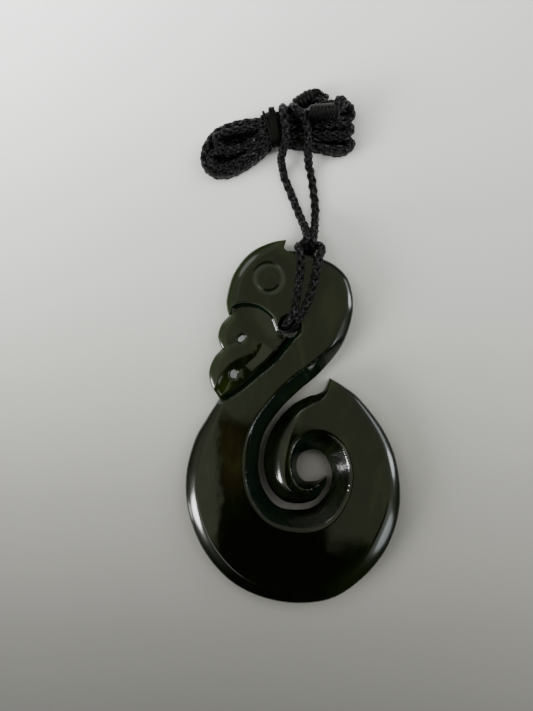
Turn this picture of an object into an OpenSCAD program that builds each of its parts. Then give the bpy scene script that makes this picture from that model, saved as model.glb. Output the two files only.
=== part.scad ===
// Greenstone manaia pendant, lying on its back with its neck cord bundled above the head.
// Millimetres. X is to the right of the figure, Y runs from belly to brow, Z is up.
// The origin is on the resting plane, under the middle of the stone.

/* [Stone] */
// Height of the flat front above the resting plane
stone_t = 7.2; // [6.4:0.1:8]
// Level of the lower lip of the edge band
rim_low = 3.4; // [2.6:0.1:3.6]
// Level of the upper lip of the edge band
rim_high = 4.1; // [3.8:0.1:4.4]
// Share of a front bevel's width that the same edge has at the back
back_bevel = 0.7; // [0.5:0.05:0.8]
// Clearance under the head, where the cord passes
head_relief = 1.75; // [1.7:0.05:2]

/* [Face] */
// Level of the beak, below the flat front
beak_z = 6.0; // [5.6:0.1:6.6]
// Level of the bottom of the cleft between beak and neck
cleft_z = 4.7; // [4.2:0.1:5.4]
// Half width of that cleft at the front
cleft_half = 1.3; // [0.9:0.1:1.5]
// Radius of the middle of the eye ring
eye_ring_r = 2.6; // [2.3:0.1:2.8]
// Radius of the eye ring's groove
eye_groove_r = 0.5; // [0.3:0.05:0.6]
// Diameter of the hole that the cord goes through
cord_hole_d = 3.7; // [3.6:0.1:4]

/* [Cord] */
// Diameter of the braided neck cord
cord_d = 1.6; // [1.5:0.05:1.7]
// Thickness of the bundled cord
hank_t = 6.0; // [5.5:0.1:6.2]
// Outer diameter of each sliding knot
knot_d = 2.8; // [2.4:0.1:3]
// Thickness of the elastic band
band_t = 0.6; // [0.5:0.05:0.7]
// Width of each wrap of the elastic band
band_w = 1.1; // [0.9:0.1:1.3]

/* [Hidden] */

greenstone = [0.16, 0.19, 0.12];
black_cord = [0.12, 0.12, 0.13];
black_rubber = [0.2, 0.2, 0.21];

// Points made for each stretch between two rows of an outline table
outline_steps = 3;
// Steps up each bevel
bevel_steps = 4;
// How far cutters reach past the stone
over = 1;

// The outline's tables go round the stone anticlockwise. Columns: x, y, width of the front bevel, and
// roundness of that bevel from 0, a plain slope, to 1, a quarter round. A new table starts at each corner.
brow = [[-1.2, 36.1, 0.05, 1], [-4.7, 35.5, 1.6, 1], [-8.7, 33.4, 2.0, 1], [-11.8, 29.4, 2.0, 1],
    [-13.2, 24.6, 2.0, 1], [-13.1, 22.2, 1.4, 1], [-12.7, 21.0, 1.2, 1]];
upper_lobe = [[-12.7, 21.0, 1.2, 1], [-14.2, 19.4, 1.5, 1], [-14.9, 17.3, 1.5, 1], [-14.7, 15.8, 1.4, 1],
    [-14.1, 14.5, 1.0, 1]];
lower_lobe = [[-14.1, 14.5, 1.0, 1], [-15.7, 12.7, 1.5, 1], [-16.7, 10.0, 1.6, 1], [-16.3, 7.4, 1.6, 1],
    [-14.7, 4.5, 1.0, 1]];
belly = [[-14.7, 4.5, 1.0, 1], [-17.2, 0.6, 2.0, 1], [-19.7, -4.0, 2.5, 1], [-21.3, -10.8, 2.6, 1],
    [-20.8, -18.0, 2.6, 1], [-17.9, -25.4, 2.6, 1], [-12.7, -31.5, 2.6, 1], [-6.2, -34.9, 2.6, 1],
    [1.2, -36.1, 2.6, 1], [8.4, -34.9, 2.6, 1], [14.8, -30.3, 2.6, 1], [19.2, -24.3, 2.6, 1],
    [21.3, -16.8, 2.6, 1], [20.8, -8.8, 2.5, 1], [18.3, -2.1, 2.2, 1], [13.5, 4.3, 1.6, 1],
    [9.9, 7.2, 0.9, 1], [7.3, 8.7, 0.3, 1]];
belly_tip = [[7.3, 8.7, 0.3, 1], [6.7, 7.3, 0.5, 0.5], [6.1, 6.1, 0.7, 0.3]];
inner_bank = [[6.1, 6.1, 0.7, 0.3], [4.9, 5.4, 1.2, 0.2], [3.0, 4.9, 1.6, 0], [0.1, 3.3, 1.9, 0],
    [-2.7, 0.5, 2.2, 0], [-4.8, -3.2, 2.6, 0], [-5.8, -8.0, 2.9, 0], [-4.8, -12.7, 2.9, 0],
    [-2.1, -15.7, 2.7, 0], [1.3, -16.4, 2.5, 0], [4.4, -15.6, 1.8, 0], [6.3, -13.4, 0.9, 0],
    [6.8, -12.0, 0.4, 0], [6.6, -10.7, 0.1, 0]];
spiral_eye = [[6.6, -10.7, 0.1, 0], [5.7, -11.4, 0.3, 0], [4.6, -11.9, 0.9, 0], [2.3, -11.9, 1.3, 0],
    [1.0, -10.3, 1.2, 0], [0.8, -8.2, 1.3, 0], [1.7, -6.4, 2.0, 0], [3.3, -5.7, 3.2, 0],
    [5.2, -5.8, 3.7, 0], [6.7, -7.1, 3.8, 0]];
outer_bank = [[6.7, -7.1, 3.8, 0], [7.6, -9.2, 3.6, 0], [7.9, -11.4, 3.4, 0], [7.1, -14.0, 3.5, 0],
    [4.7, -16.8, 3.8, 0], [1.3, -17.7, 3.6, 0], [-3.2, -16.9, 3.1, 0], [-6.1, -13.0, 2.9, 0],
    [-6.8, -8.0, 2.8, 0], [-5.8, -2.6, 2.8, 0], [-2.6, 2.3, 2.8, 0], [1.3, 6.2, 2.9, 0],
    [5.3, 9.6, 2.6, 0.2], [9.3, 14.3, 2.5, 0.6], [11.3, 18.8, 2.2, 1], [12.0, 23.4, 2.0, 1],
    [11.0, 28.2, 2.0, 1], [8.2, 31.2, 1.8, 1], [4.0, 33.0, 1.5, 1], [0.4, 33.8, 1.0, 1],
    [-1.2, 33.9, 0.5, 1]];
brow_notch = [[-1.2, 33.9, 0.5, 1], [-1.7, 34.5, 0.3, 1], [-1.5, 35.3, 0.1, 1], [-1.2, 36.1, 0.05, 1]];

// Edge of the step from the head down to the beak. Columns: x, y.
beak_step = [[-20, 21.0], [-12.9, 21.2], [-11.9, 22.6], [-10.3, 23.2], [-8.5, 23.2], [-6.2, 22.4],
    [-4.1, 20.6], [-3.1, 18.3], [-3.0, 16.4], [-3.9, 13.0], [-7.1, 9.8], [-10.5, 6.8], [-14.7, 4.3],
    [-20, 4.3]];
// Widening of that cut as it rises. Columns: level above the beak, distance outwards.
step_rise = [[0, -0.5], [0.2, -0.2], [0.6, 0], [2.2, 0.15]];

// Middle of the cleft between beak and neck, from the cord hole to the belly. Columns: x, y.
cleft = [[-0.5, 16.6], [-2.0, 14.7], [-3.4, 13.0], [-5.2, 11.3], [-7.1, 9.8], [-8.9, 8.2],
    [-10.5, 6.9], [-12.3, 5.7], [-14.6, 4.5], [-16.0, 3.8]];
// Hollow along the beak, through its lower hole. Columns: x, y, radius.
beak_hollow = [[-7.3, 16.0, 0.5], [-8.9, 14.2, 1.0], [-10.3, 12.5, 1.4], [-11.4, 10.8, 1.7],
    [-12.2, 8.9, 1.8], [-13.2, 7.0, 1.5], [-14.2, 5.4, 1.0]];
// Line between the beak's lobes, to its upper hole. Columns: x, y.
lobe_line = [[-14.4, 14.4], [-12.4, 15.3], [-10.3, 16.4]];
// Places on the face. Columns: x, y.
eye_ring = [-5.1, 28.3];
cord_hole = [-0.7, 18.6];
upper_hole = [-10.2, 16.5];
lower_hole = [-11.8, 9.4];
thumb_scoop = [-2.2, 20.7];

// The cord's route from the bundle, through the hitch in the stone's hole, and back. Columns: x, y, z.
route = [
    [-2.0, 62.5, 1.5], [-2.0, 62.5, 3.4], [-2.0, 62.4, 5.2], [-1.9, 61.7, 6.6], [-1.7, 60.2, 6.9],
    [-1.3, 57.4, 6.9], [-1.5, 55.5, 6.9], [-1.9, 54.0, 5.9], [-2.4, 52.4, 3.6], [-2.3, 50.8, 1.8],
    [-1.9, 49.0, 1.0], [-1.0, 46.6, 0.85], [0.4, 43.0, 0.9], [1.5, 40.2, 2.0], [2.2, 38.2, 4.3],
    [2.5, 37.0, 5.8], [2.5, 35.9, 6.3], [2.5, 34.9, 5.8], [2.45, 34.4, 4.7], [2.4, 34.4, 3.2],
    [2.35, 34.3, 1.8], [2.2, 33.7, 1.0], [1.8, 32.2, 0.86], [0.6, 26.4, 0.86], [-0.6, 21.6, 0.86],
    [-1.25, 19.75, 1.0], [-1.47, 19.1, 1.9], [-1.5, 18.95, 3.2], [-1.5, 18.95, 5.6], [-1.44, 19.15, 7.0],
    [-1.2, 19.8, 7.9], [-0.6, 20.9, 8.1], [0.05, 22.2, 8.05], [0.8, 25.2, 8.05], [1.1, 28.4, 8.05],
    [1.2, 31.0, 8.1], [1.05, 32.8, 8.0], [0.9, 34.3, 7.2], [1.0, 35.3, 5.9], [1.7, 36.0, 4.9],
    [3.25, 36.2, 4.6],
    [4.8, 36.0, 4.9], [5.5, 35.3, 5.9], [5.5, 34.2, 7.1], [5.1, 32.8, 7.9], [4.6, 31.0, 8.05],
    [4.1, 28.4, 8.05], [3.35, 25.4, 8.05], [2.3, 22.8, 8.05], [1.3, 21.3, 8.1], [0.65, 20.2, 8.05],
    [0.25, 19.2, 7.0], [0.15, 18.65, 5.6], [0.15, 18.65, 3.2], [0.2, 18.9, 1.9], [0.45, 19.75, 1.0],
    [1.1, 21.6, 0.86], [2.3, 26.4, 0.86], [3.5, 32.2, 0.86], [3.9, 33.7, 1.0], [4.05, 34.3, 1.8],
    [4.1, 34.4, 3.2], [4.13, 34.4, 4.7], [4.15, 34.9, 5.8], [4.15, 35.9, 6.3], [4.2, 37.0, 5.8],
    [4.35, 38.2, 4.3], [4.5, 40.2, 2.0], [4.6, 43.0, 0.9], [4.2, 46.6, 0.85], [3.8, 49.4, 1.0],
    [3.3, 51.2, 2.0], [3.1, 52.6, 4.0], [3.0, 53.9, 6.0], [2.9, 55.6, 6.9], [2.7, 58.4, 6.9],
    [1.9, 60.6, 6.9], [0.6, 61.9, 6.5], [-0.1, 62.5, 5.2], [-0.2, 62.6, 3.4], [-0.2, 62.6, 1.5]];
cord_sides = 8;

// Outline of the bundled cord. Columns: x, y.
hank_plan = [[-5.0, 61.5], [-9.0, 60.9], [-12.9, 60.2], [-16.2, 57.6], [-18.4, 54.0], [-17.8, 50.8],
    [-15.0, 49.0], [-11.5, 49.7], [-7.8, 51.8], [-4.6, 54.7], [-1.0, 55.1], [3.4, 54.5],
    [7.2, 54.2], [9.9, 53.4], [12.2, 55.0], [12.3, 58.4], [12.5, 61.8], [10.6, 63.4], [6.3, 63.4],
    [2.6, 62.6], [0.9, 61.6], [-2.0, 61.4]];
// How the bundle's edge rounds over. Columns: height from either face, distance inwards.
hank_round = [[0, 1.3], [0.3, 0.75], [0.75, 0.35], [1.4, 0.05]];
// Foot of the bundle where the cord's two ends go into it
ledge_at = [-1.1, 62.0];
ledge_size = [3.5, 3.2];
ledge_foot = 0.3;
// Place of the band's waist, and its core inside the band
band_at = [-4.1, 58.15];
core_size = [6.5, 4.6];
core_round = 1.6;
// The elastic band's wraps. Columns: x of the middle, turn in degrees.
wraps = [[-0.95, 12], [-0.1, 9], [0.75, 5]];
band_gap = 0.05;

// Sliding knots: number of turns, and how deep the grooves between them are
knot_turns = 4;
knot_groove = 0.25;
// Ends of the middle of each knot. Columns: x, y, z.
low_knot = [[1.3, 64.0, 1.45], [4.5, 65.3, 1.45]];
high_knot = [[3.6, 61.2, 7.45], [8.9, 61.3, 7.45]];
low_tail = [[4.2, 65.2, 1.5], [6.3, 65.5, 1.2], [6.4, 66.3, 0.9]];
high_tail = [[8.8, 61.3, 7.4], [9.1, 62.4, 7.3], [9.1, 63.6, 7.1]];
joining_strand = [[4.2, 65.1, 1.9], [6.2, 64.7, 3.9], [7.8, 64.2, 6.6]];

// A point between b and c of a smooth curve through a, b, c and d, t of the way along
function between(a, b, c, d, t) =
    (2 * b + (c - a) * t + (2 * a - 5 * b + 4 * c - d) * t * t + (3 * b - a - 3 * c + d) * t * t * t) / 2;

// The rows of a table joined by a smooth curve, without its last row
function smooth_run(rows, steps) = [
    for (i = [0:len(rows) - 2], s = [0:steps - 1])
        between(rows[max(i - 1, 0)], rows[i], rows[i + 1], rows[min(i + 2, len(rows) - 1)], s / steps)];

// A closed smooth curve through all the rows
function smooth_loop(rows, steps) = let (n = len(rows)) [
    for (i = [0:n - 1], s = [0:steps - 1])
        between(rows[(i + n - 1) % n], rows[i], rows[(i + 1) % n], rows[(i + 2) % n], s / steps)];

// Unit vector to the inside of an anticlockwise loop at its point i
function inward(loop, i) = let (
    n = len(loop), a = loop[(i + n - 1) % n], b = loop[(i + 1) % n], d = [b[0] - a[0], b[1] - a[1]])
    [-d[1], d[0]] / norm(d);

// Faces of a stack of rings of n points each, closed by a cap at both ends
function stack_faces(n, rings) = concat(
    [[for (i = [0:n - 1]) i]],
    [for (j = [0:rings - 2], i = [0:n - 1]) let (k = (i + 1) % n, a = j * n, b = (j + 1) * n)
        each [[a + i, b + i, b + k], [a + i, b + k, a + k]]],
    [[for (i = [n - 1:-1:0]) (rings - 1) * n + i]]);

// A loop moved inwards by d, at level z
function ring_at(loop, d, z) = [
    for (i = [0:len(loop) - 1]) let (p = loop[i], v = inward(loop, i)) [p[0] + d * v[0], p[1] + d * v[1], z]];

// The stone's outline, with the bevel's width and roundness at each point
stone_loop = concat([for (t = [brow, upper_lobe, lower_lobe, belly, belly_tip, inner_bank, spiral_eye,
    outer_bank, brow_notch]) each smooth_run(t, outline_steps)]);

// Share of the bevel's width and of its height at step k, for roundness r
function bevel_in(k, r) = r * (1 - cos(90 * k / bevel_steps)) + (1 - r) * k / bevel_steps;
function bevel_up(k, r) = r * sin(90 * k / bevel_steps) + (1 - r) * k / bevel_steps;

// One ring of the bevel that goes from level z_rim to level z_flat, its width scaled
function bevel_ring(k, z_rim, z_flat, scale) = [
    for (i = [0:len(stone_loop) - 1]) let (p = stone_loop[i], v = inward(stone_loop, i),
        d = scale * p[2] * bevel_in(k, p[3]))
        [p[0] + d * v[0], p[1] + d * v[1], z_rim + (z_flat - z_rim) * bevel_up(k, p[3])]];

module stone_blank() {
    back = [for (k = [bevel_steps:-1:0]) bevel_ring(k, rim_low, 0, back_bevel)];
    front = [for (k = [0:bevel_steps]) bevel_ring(k, rim_high, stone_t, 1)];
    rings = concat(back, front);
    polyhedron([for (r = rings) each r], stack_faces(len(stone_loop), len(rings)));
}

// Room between the resting plane and the back of the head, for the two strands of cord
module head_relief_cut() {
    translate([-25, 0, 0]) rotate([90, 0, 90])
        linear_extrude(50)
            polygon([[6, -over], [6, 0], [8, 0.25], [13.5, head_relief], [40, head_relief], [40, -over]]);
}

module beak_cut() {
    rings = [for (r = step_rise) ring_at([for (i = [len(beak_step) - 1:-1:0]) beak_step[i]], -r[1],
        beak_z + r[0])];
    polyhedron([for (r = rings) each r], stack_faces(len(beak_step), len(rings)));
}

module cleft_cutter(p) {
    top = stone_t + over;
    slope = cleft_half / (stone_t - cleft_z);
    translate([p[0], p[1], cleft_z])
        cylinder(h = top - cleft_z, r1 = 0.12, r2 = 0.12 + slope * (top - cleft_z), $fn = 16);
}

module cleft_cut() {
    for (i = [0:len(cleft) - 2]) hull() { cleft_cutter(cleft[i]); cleft_cutter(cleft[i + 1]); }
}

module hollow_cutter(p) {
    translate([p[0], p[1], beak_z + 0.3 * p[2]]) sphere(r = p[2], $fn = 20);
}

module beak_hollow_cut() {
    for (i = [0:len(beak_hollow) - 2])
        hull() { hollow_cutter(beak_hollow[i]); hollow_cutter(beak_hollow[i + 1]); }
}

module lobe_line_cut() {
    for (i = [0:len(lobe_line) - 2]) hull() for (p = [lobe_line[i], lobe_line[i + 1]])
        translate([p[0], p[1], beak_z - 0.5]) cylinder(h = 1, r1 = 0.1, r2 = 0.8, $fn = 12);
}

module eye_ring_cut() {
    translate([eye_ring[0], eye_ring[1], stone_t + 0.05])
        rotate_extrude($fn = 40) translate([eye_ring_r, 0]) circle(r = eye_groove_r, $fn = 14);
}

module through_hole(at, turn, long, wide) {
    translate([at[0], at[1], -over]) rotate([0, 0, turn])
        hull() for (s = [-1, 1]) translate([s * (long - wide) / 2, 0, 0])
            cylinder(h = stone_t + 2 * over, d = wide, $fn = 16);
}

module cord_hole_cut() {
    translate([cord_hole[0], cord_hole[1], -over]) cylinder(h = stone_t + 2 * over, d = cord_hole_d, $fn = 32);
    translate([cord_hole[0], cord_hole[1], stone_t - 0.8])
        cylinder(h = 1.6, d1 = cord_hole_d, d2 = cord_hole_d + 2.4, $fn = 32);
    translate([cord_hole[0], cord_hole[1], head_relief - 0.1])
        cylinder(h = 0.8, d1 = cord_hole_d + 1.2, d2 = cord_hole_d, $fn = 32);
}

module thumb_scoop_cut() {
    translate([thumb_scoop[0], thumb_scoop[1], stone_t + 0.2]) rotate([0, 0, -20])
        scale([1.1, 2.1, 1.5]) sphere(r = 1, $fn = 24);
}

module manaia_stone() {
    color(greenstone) difference() {
        stone_blank();
        head_relief_cut();
        beak_cut();
        cleft_cut();
        beak_hollow_cut();
        lobe_line_cut();
        eye_ring_cut();
        through_hole(upper_hole, 40, 1.9, 1.2);
        through_hole(lower_hole, 80, 2.0, 1.5);
        cord_hole_cut();
        thumb_scoop_cut();
    }
}

// Directions along a path, one for each of its points
function directions(path) = [for (i = [0:len(path) - 1])
    let (d = path[min(i + 1, len(path) - 1)] - path[max(i - 1, 0)]) d / norm(d)];

// Side vectors square to the directions, each turned as little as possible from the one before
function side_vectors(dirs, i = 0, side = [1, 0, 0], out = []) =
    i == len(dirs) ? out :
    let (v = side - dirs[i] * (side * dirs[i]), u = v / norm(v)) side_vectors(dirs, i + 1, u, concat(out, [u]));

// A round tube of diameter d along a path
module tube(path, d, sides) {
    dirs = directions(path);
    across = side_vectors(dirs);
    rings = [for (i = [0:len(path) - 1]) [for (s = [0:sides - 1]) let (a = 360 * s / sides)
        path[i] + d / 2 * (cos(a) * across[i] + sin(a) * cross(dirs[i], across[i]))]];
    polyhedron([for (r = rings) each r], stack_faces(sides, len(path)));
}

module neck_cord() {
    color(black_cord) tube(route, cord_d, cord_sides);
}

module band_frame(x, turn) {
    translate([band_at[0], band_at[1], hank_t / 2 + band_gap]) rotate([0, 0, turn]) translate([x, 0, 0])
        rotate([90, 0, 90]) children();
}

module core_plan(extra) {
    offset(r = core_round + extra, $fn = 24)
        square([core_size[0] - 2 * core_round, core_size[1] - 2 * core_round], center = true);
}

module hank_blank() {
    for (r = hank_round) translate([0, 0, r[0]]) linear_extrude(hank_t - 2 * r[0])
        offset(delta = -r[1]) polygon(smooth_loop(hank_plan, 3));
}

module cord_hank() {
    waist = 4.4;
    color(black_cord) union() {
        difference() {
            hank_blank();
            band_frame(-waist / 2, wraps[1][1]) linear_extrude(waist) square(12, center = true);
        }
        band_frame(-waist / 2 - 0.3, wraps[1][1]) linear_extrude(waist + 0.6) core_plan(-band_gap);
        translate([ledge_at[0], ledge_at[1], ledge_foot]) linear_extrude(route[0][2] - ledge_foot)
            offset(r = 0.9, $fn = 24) square([ledge_size[0] - 1.8, ledge_size[1] - 1.8], center = true);
    }
}

module hank_band() {
    color(black_rubber) difference() {
        union() for (w = wraps)
            band_frame(w[0] - band_w / 2, w[1]) linear_extrude(band_w) core_plan(band_t);
        band_frame(-4, wraps[1][1]) linear_extrude(8) core_plan(0);
    }
}

// A barrel of cord turns from a to b, with rounded ends
module barrel(a, b) {
    run = b - a;
    pitch = norm(run) / knot_turns;
    r = knot_d / 2;
    translate(a) rotate([0, acos(run[2] / norm(run)), atan2(run[1], run[0])])
        rotate_extrude($fn = 32) union() {
            square([r - knot_groove, norm(run)]);
            for (i = [0:knot_turns - 1]) translate([r - pitch / 2, (i + 0.5) * pitch])
                intersection() {
                    circle(d = pitch, $fn = 24);
                    translate([pitch / 2 - r, -pitch]) square([r + pitch, 2 * pitch]);
                }
        }
}

module slide_knot_low() {
    color(black_cord) union() {
        barrel(low_knot[0], low_knot[1]);
        tube(low_tail, cord_d, cord_sides);
        tube(joining_strand, cord_d, cord_sides);
    }
}

module slide_knot_high() {
    color(black_cord) union() {
        barrel(high_knot[0], high_knot[1]);
        tube(high_tail, cord_d, cord_sides);
    }
}

manaia_stone();
neck_cord();
cord_hank();
hank_band();
slide_knot_low();
slide_knot_high();
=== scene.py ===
"""A carved greenstone manaia pendant on its braided neck cord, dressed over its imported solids."""

import logging
import math
from collections.abc import Callable, Sequence
from dataclasses import dataclass, field
from enum import Enum
from functools import reduce

import bmesh
import bpy
import numpy as np
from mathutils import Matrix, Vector


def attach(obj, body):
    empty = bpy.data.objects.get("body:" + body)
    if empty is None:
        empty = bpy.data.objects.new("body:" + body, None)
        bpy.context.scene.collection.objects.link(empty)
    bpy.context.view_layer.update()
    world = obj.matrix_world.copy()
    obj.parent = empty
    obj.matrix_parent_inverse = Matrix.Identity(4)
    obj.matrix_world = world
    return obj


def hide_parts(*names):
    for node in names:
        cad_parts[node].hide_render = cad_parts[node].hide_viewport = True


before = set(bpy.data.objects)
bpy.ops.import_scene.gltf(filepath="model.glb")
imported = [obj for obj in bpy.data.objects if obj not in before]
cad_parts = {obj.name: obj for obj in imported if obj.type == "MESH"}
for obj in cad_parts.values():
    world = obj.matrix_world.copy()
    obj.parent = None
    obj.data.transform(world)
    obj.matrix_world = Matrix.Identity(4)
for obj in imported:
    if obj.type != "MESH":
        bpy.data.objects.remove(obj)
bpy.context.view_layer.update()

LOG = logging.getLogger("pendant")
MM = 0.001

Rows = Sequence[Sequence[float]]
Pair = tuple[float, float]
Triple = tuple[float, float, float]
Socket = bpy.types.NodeSocket
Value = Socket | float | Sequence[float]

# Where the elastic band holds the bundled cord, in millimetres.
WAIST: Pair = (-4.1, 58.15)


class Part(Enum):
    """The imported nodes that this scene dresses."""

    STONE = "manaia_stone"
    CORD = "neck_cord"
    BUNDLE = "cord_hank"
    BAND = "hank_band"
    LOW_KNOT = "slide_knot_low"
    HIGH_KNOT = "slide_knot_high"


class Slot(Enum):
    """The record's material slots."""

    STONE = "greenstone"
    CORD = "black_cord"
    RUBBER = "black_rubber"


def smooth_rows(rows: Rows, steps: int, closed: bool = False) -> np.ndarray:
    """Joins the rows of a table with a smooth curve through each of them.

    Args:
        rows: the table, one row for each point, with any number of columns.
        steps: points made for each stretch between two rows.
        closed: whether the last row leads back to the first.

    Returns:
        The points of the curve, with the last row itself at the end of an open one.
    """
    p = np.asarray(rows, float)
    n = len(p)
    last = n if closed else n - 1
    t = (np.arange(steps) / steps)[:, None]
    out = []
    for i in range(last):
        if closed:
            a, b, c, d = p[i - 1], p[i], p[(i + 1) % n], p[(i + 2) % n]
        else:
            a, b, c, d = p[max(i - 1, 0)], p[i], p[i + 1], p[min(i + 2, n - 1)]
        out.append(
            (2 * b + (c - a) * t + (2 * a - 5 * b + 4 * c - d) * t**2 + (3 * b - a - 3 * c + d) * t**3) / 2
        )
    if not closed:
        out.append(p[-1:])
    return np.concatenate(out)


def even_points(points: np.ndarray, spacing: float) -> np.ndarray:
    """Spreads points evenly along a line.

    Args:
        points: the line's own points.
        spacing: the wanted distance between neighbours.

    Returns:
        Points on the line, the first and last kept.
    """
    along = np.concatenate([[0], np.cumsum(np.linalg.norm(np.diff(points, axis=0), axis=1))])
    count = max(2, round(along[-1] / spacing) + 1)
    at = np.linspace(0, along[-1], count)
    return np.stack([np.interp(at, along, points[:, k]) for k in range(points.shape[1])], axis=1)


def polyline_reach(points: np.ndarray, line: np.ndarray) -> tuple[np.ndarray, np.ndarray, np.ndarray]:
    """Measures from points to a line of a few straight stretches.

    Args:
        points: the points in plan.
        line: the line's corners in plan.

    Returns:
        The distance of each point, its place along the line counted in stretches, and 1 or -1 for the
        line's left or right side.
    """
    best, place, side = np.full(len(points), 1e9), np.zeros(len(points)), np.ones(len(points))
    for i in range(len(line) - 1):
        a, d = line[i], line[i + 1] - line[i]
        rel = points - a
        t = np.clip(rel @ d / (d @ d), 0, 1)
        r = np.linalg.norm(rel - t[:, None] * d, axis=1)
        nearer = r < best
        best[nearer], place[nearer] = r[nearer], i + t[nearer]
        side[nearer] = np.where(d[0] * rel[nearer, 1] > d[1] * rel[nearer, 0], 1.0, -1.0)
    return best, place, side


def soft_min(a: np.ndarray, b: np.ndarray, blend: float) -> np.ndarray:
    """The lower of two heights, with the crease between them rounded over blend."""
    h = np.maximum(blend - np.abs(a - b), 0) / blend
    return np.minimum(a, b) - h * h * blend / 4


def ease(t: np.ndarray) -> np.ndarray:
    """Goes from 0 to 1 without a crease at either end."""
    t = np.clip(t, 0, 1)
    return t * t * (3 - 2 * t)


def eased(x: np.ndarray, start: float, over: float) -> np.ndarray:
    """Goes from 0 at start to 1 further on by over, which is negative where it rises the other way."""
    return ease((x - start) / over)


def round_reach(at: np.ndarray, middle: Pair, radius: float) -> np.ndarray:
    """Distance outside a circle in plan."""
    return np.linalg.norm(at - np.array(middle), axis=1) - radius


def sided_reach(at: np.ndarray, line: np.ndarray) -> np.ndarray:
    """Distance from a line in plan, negative on its right."""
    reach, _, side = polyline_reach(at, line)
    return reach * side


def tubes(name: str, lines: Sequence[np.ndarray], radius: float, facets: int = 1, closed: bool = False,
          section: bpy.types.Object | None = None) -> bpy.types.Mesh:
    """Sweeps a section along lines.

    Args:
        name: name of the mesh.
        lines: the lines' points in millimetres.
        radius: radius of a round section in millimetres.
        facets: how finely the round section is cut.
        closed: whether the lines are closed.
        section: a curve to sweep instead of a round section.

    Returns:
        The swept mesh, in metres.
    """
    curve = bpy.data.curves.new(name, "CURVE")
    curve.dimensions = "3D"
    curve.use_fill_caps = not closed
    if section is None:
        curve.bevel_depth = radius * MM
        curve.bevel_resolution = facets
    else:
        curve.bevel_mode = "OBJECT"
        curve.bevel_object = section
    for line in lines:
        spline = curve.splines.new("POLY")
        spline.points.add(len(line) - 1)
        co = np.ones((len(line), 4))
        co[:, :3] = line * MM
        spline.points.foreach_set("co", co.ravel())
        spline.use_cyclic_u = closed
        spline.use_smooth = True
    holder = bpy.data.objects.new(name, curve)
    bpy.context.scene.collection.objects.link(holder)
    bpy.context.view_layer.update()
    evaluated = holder.evaluated_get(bpy.context.evaluated_depsgraph_get())
    mesh = bpy.data.meshes.new_from_object(evaluated)
    mesh.name = name
    bpy.data.objects.remove(holder)
    bpy.data.curves.remove(curve)
    return mesh


def piece_of(name: str, mesh: bpy.types.Mesh, material: bpy.types.Material, slot: Slot,
             *parts: Part) -> bpy.types.Object:
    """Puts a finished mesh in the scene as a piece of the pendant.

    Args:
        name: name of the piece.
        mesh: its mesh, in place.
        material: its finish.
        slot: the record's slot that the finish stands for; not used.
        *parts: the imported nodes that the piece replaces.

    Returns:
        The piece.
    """
    mesh.materials.clear()
    mesh.materials.append(material)
    mesh.shade_smooth()
    piece = bpy.data.objects.new(name, mesh)
    bpy.context.scene.collection.objects.link(piece)
    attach(piece, "root")
    if parts:
        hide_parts(*(p.value for p in parts))
    LOG.info("%s: %d faces", name, len(mesh.polygons))
    return piece


def path_frames(path: np.ndarray) -> tuple[np.ndarray, np.ndarray]:
    """Side vectors along a path that turn as little as they can.

    Args:
        path: the path's points.

    Returns:
        Two unit vectors square to the path at each point.
    """
    along = np.gradient(path, axis=0)
    along /= np.linalg.norm(along, axis=1)[:, None]
    side = np.zeros_like(path)
    v = np.cross(along[0], [0.0, 0.0, 1.0])
    for i, d in enumerate(along):
        v = v - d * (v @ d)
        v /= np.linalg.norm(v)
        side[i] = v
    return side, np.cross(along, side)


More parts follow.
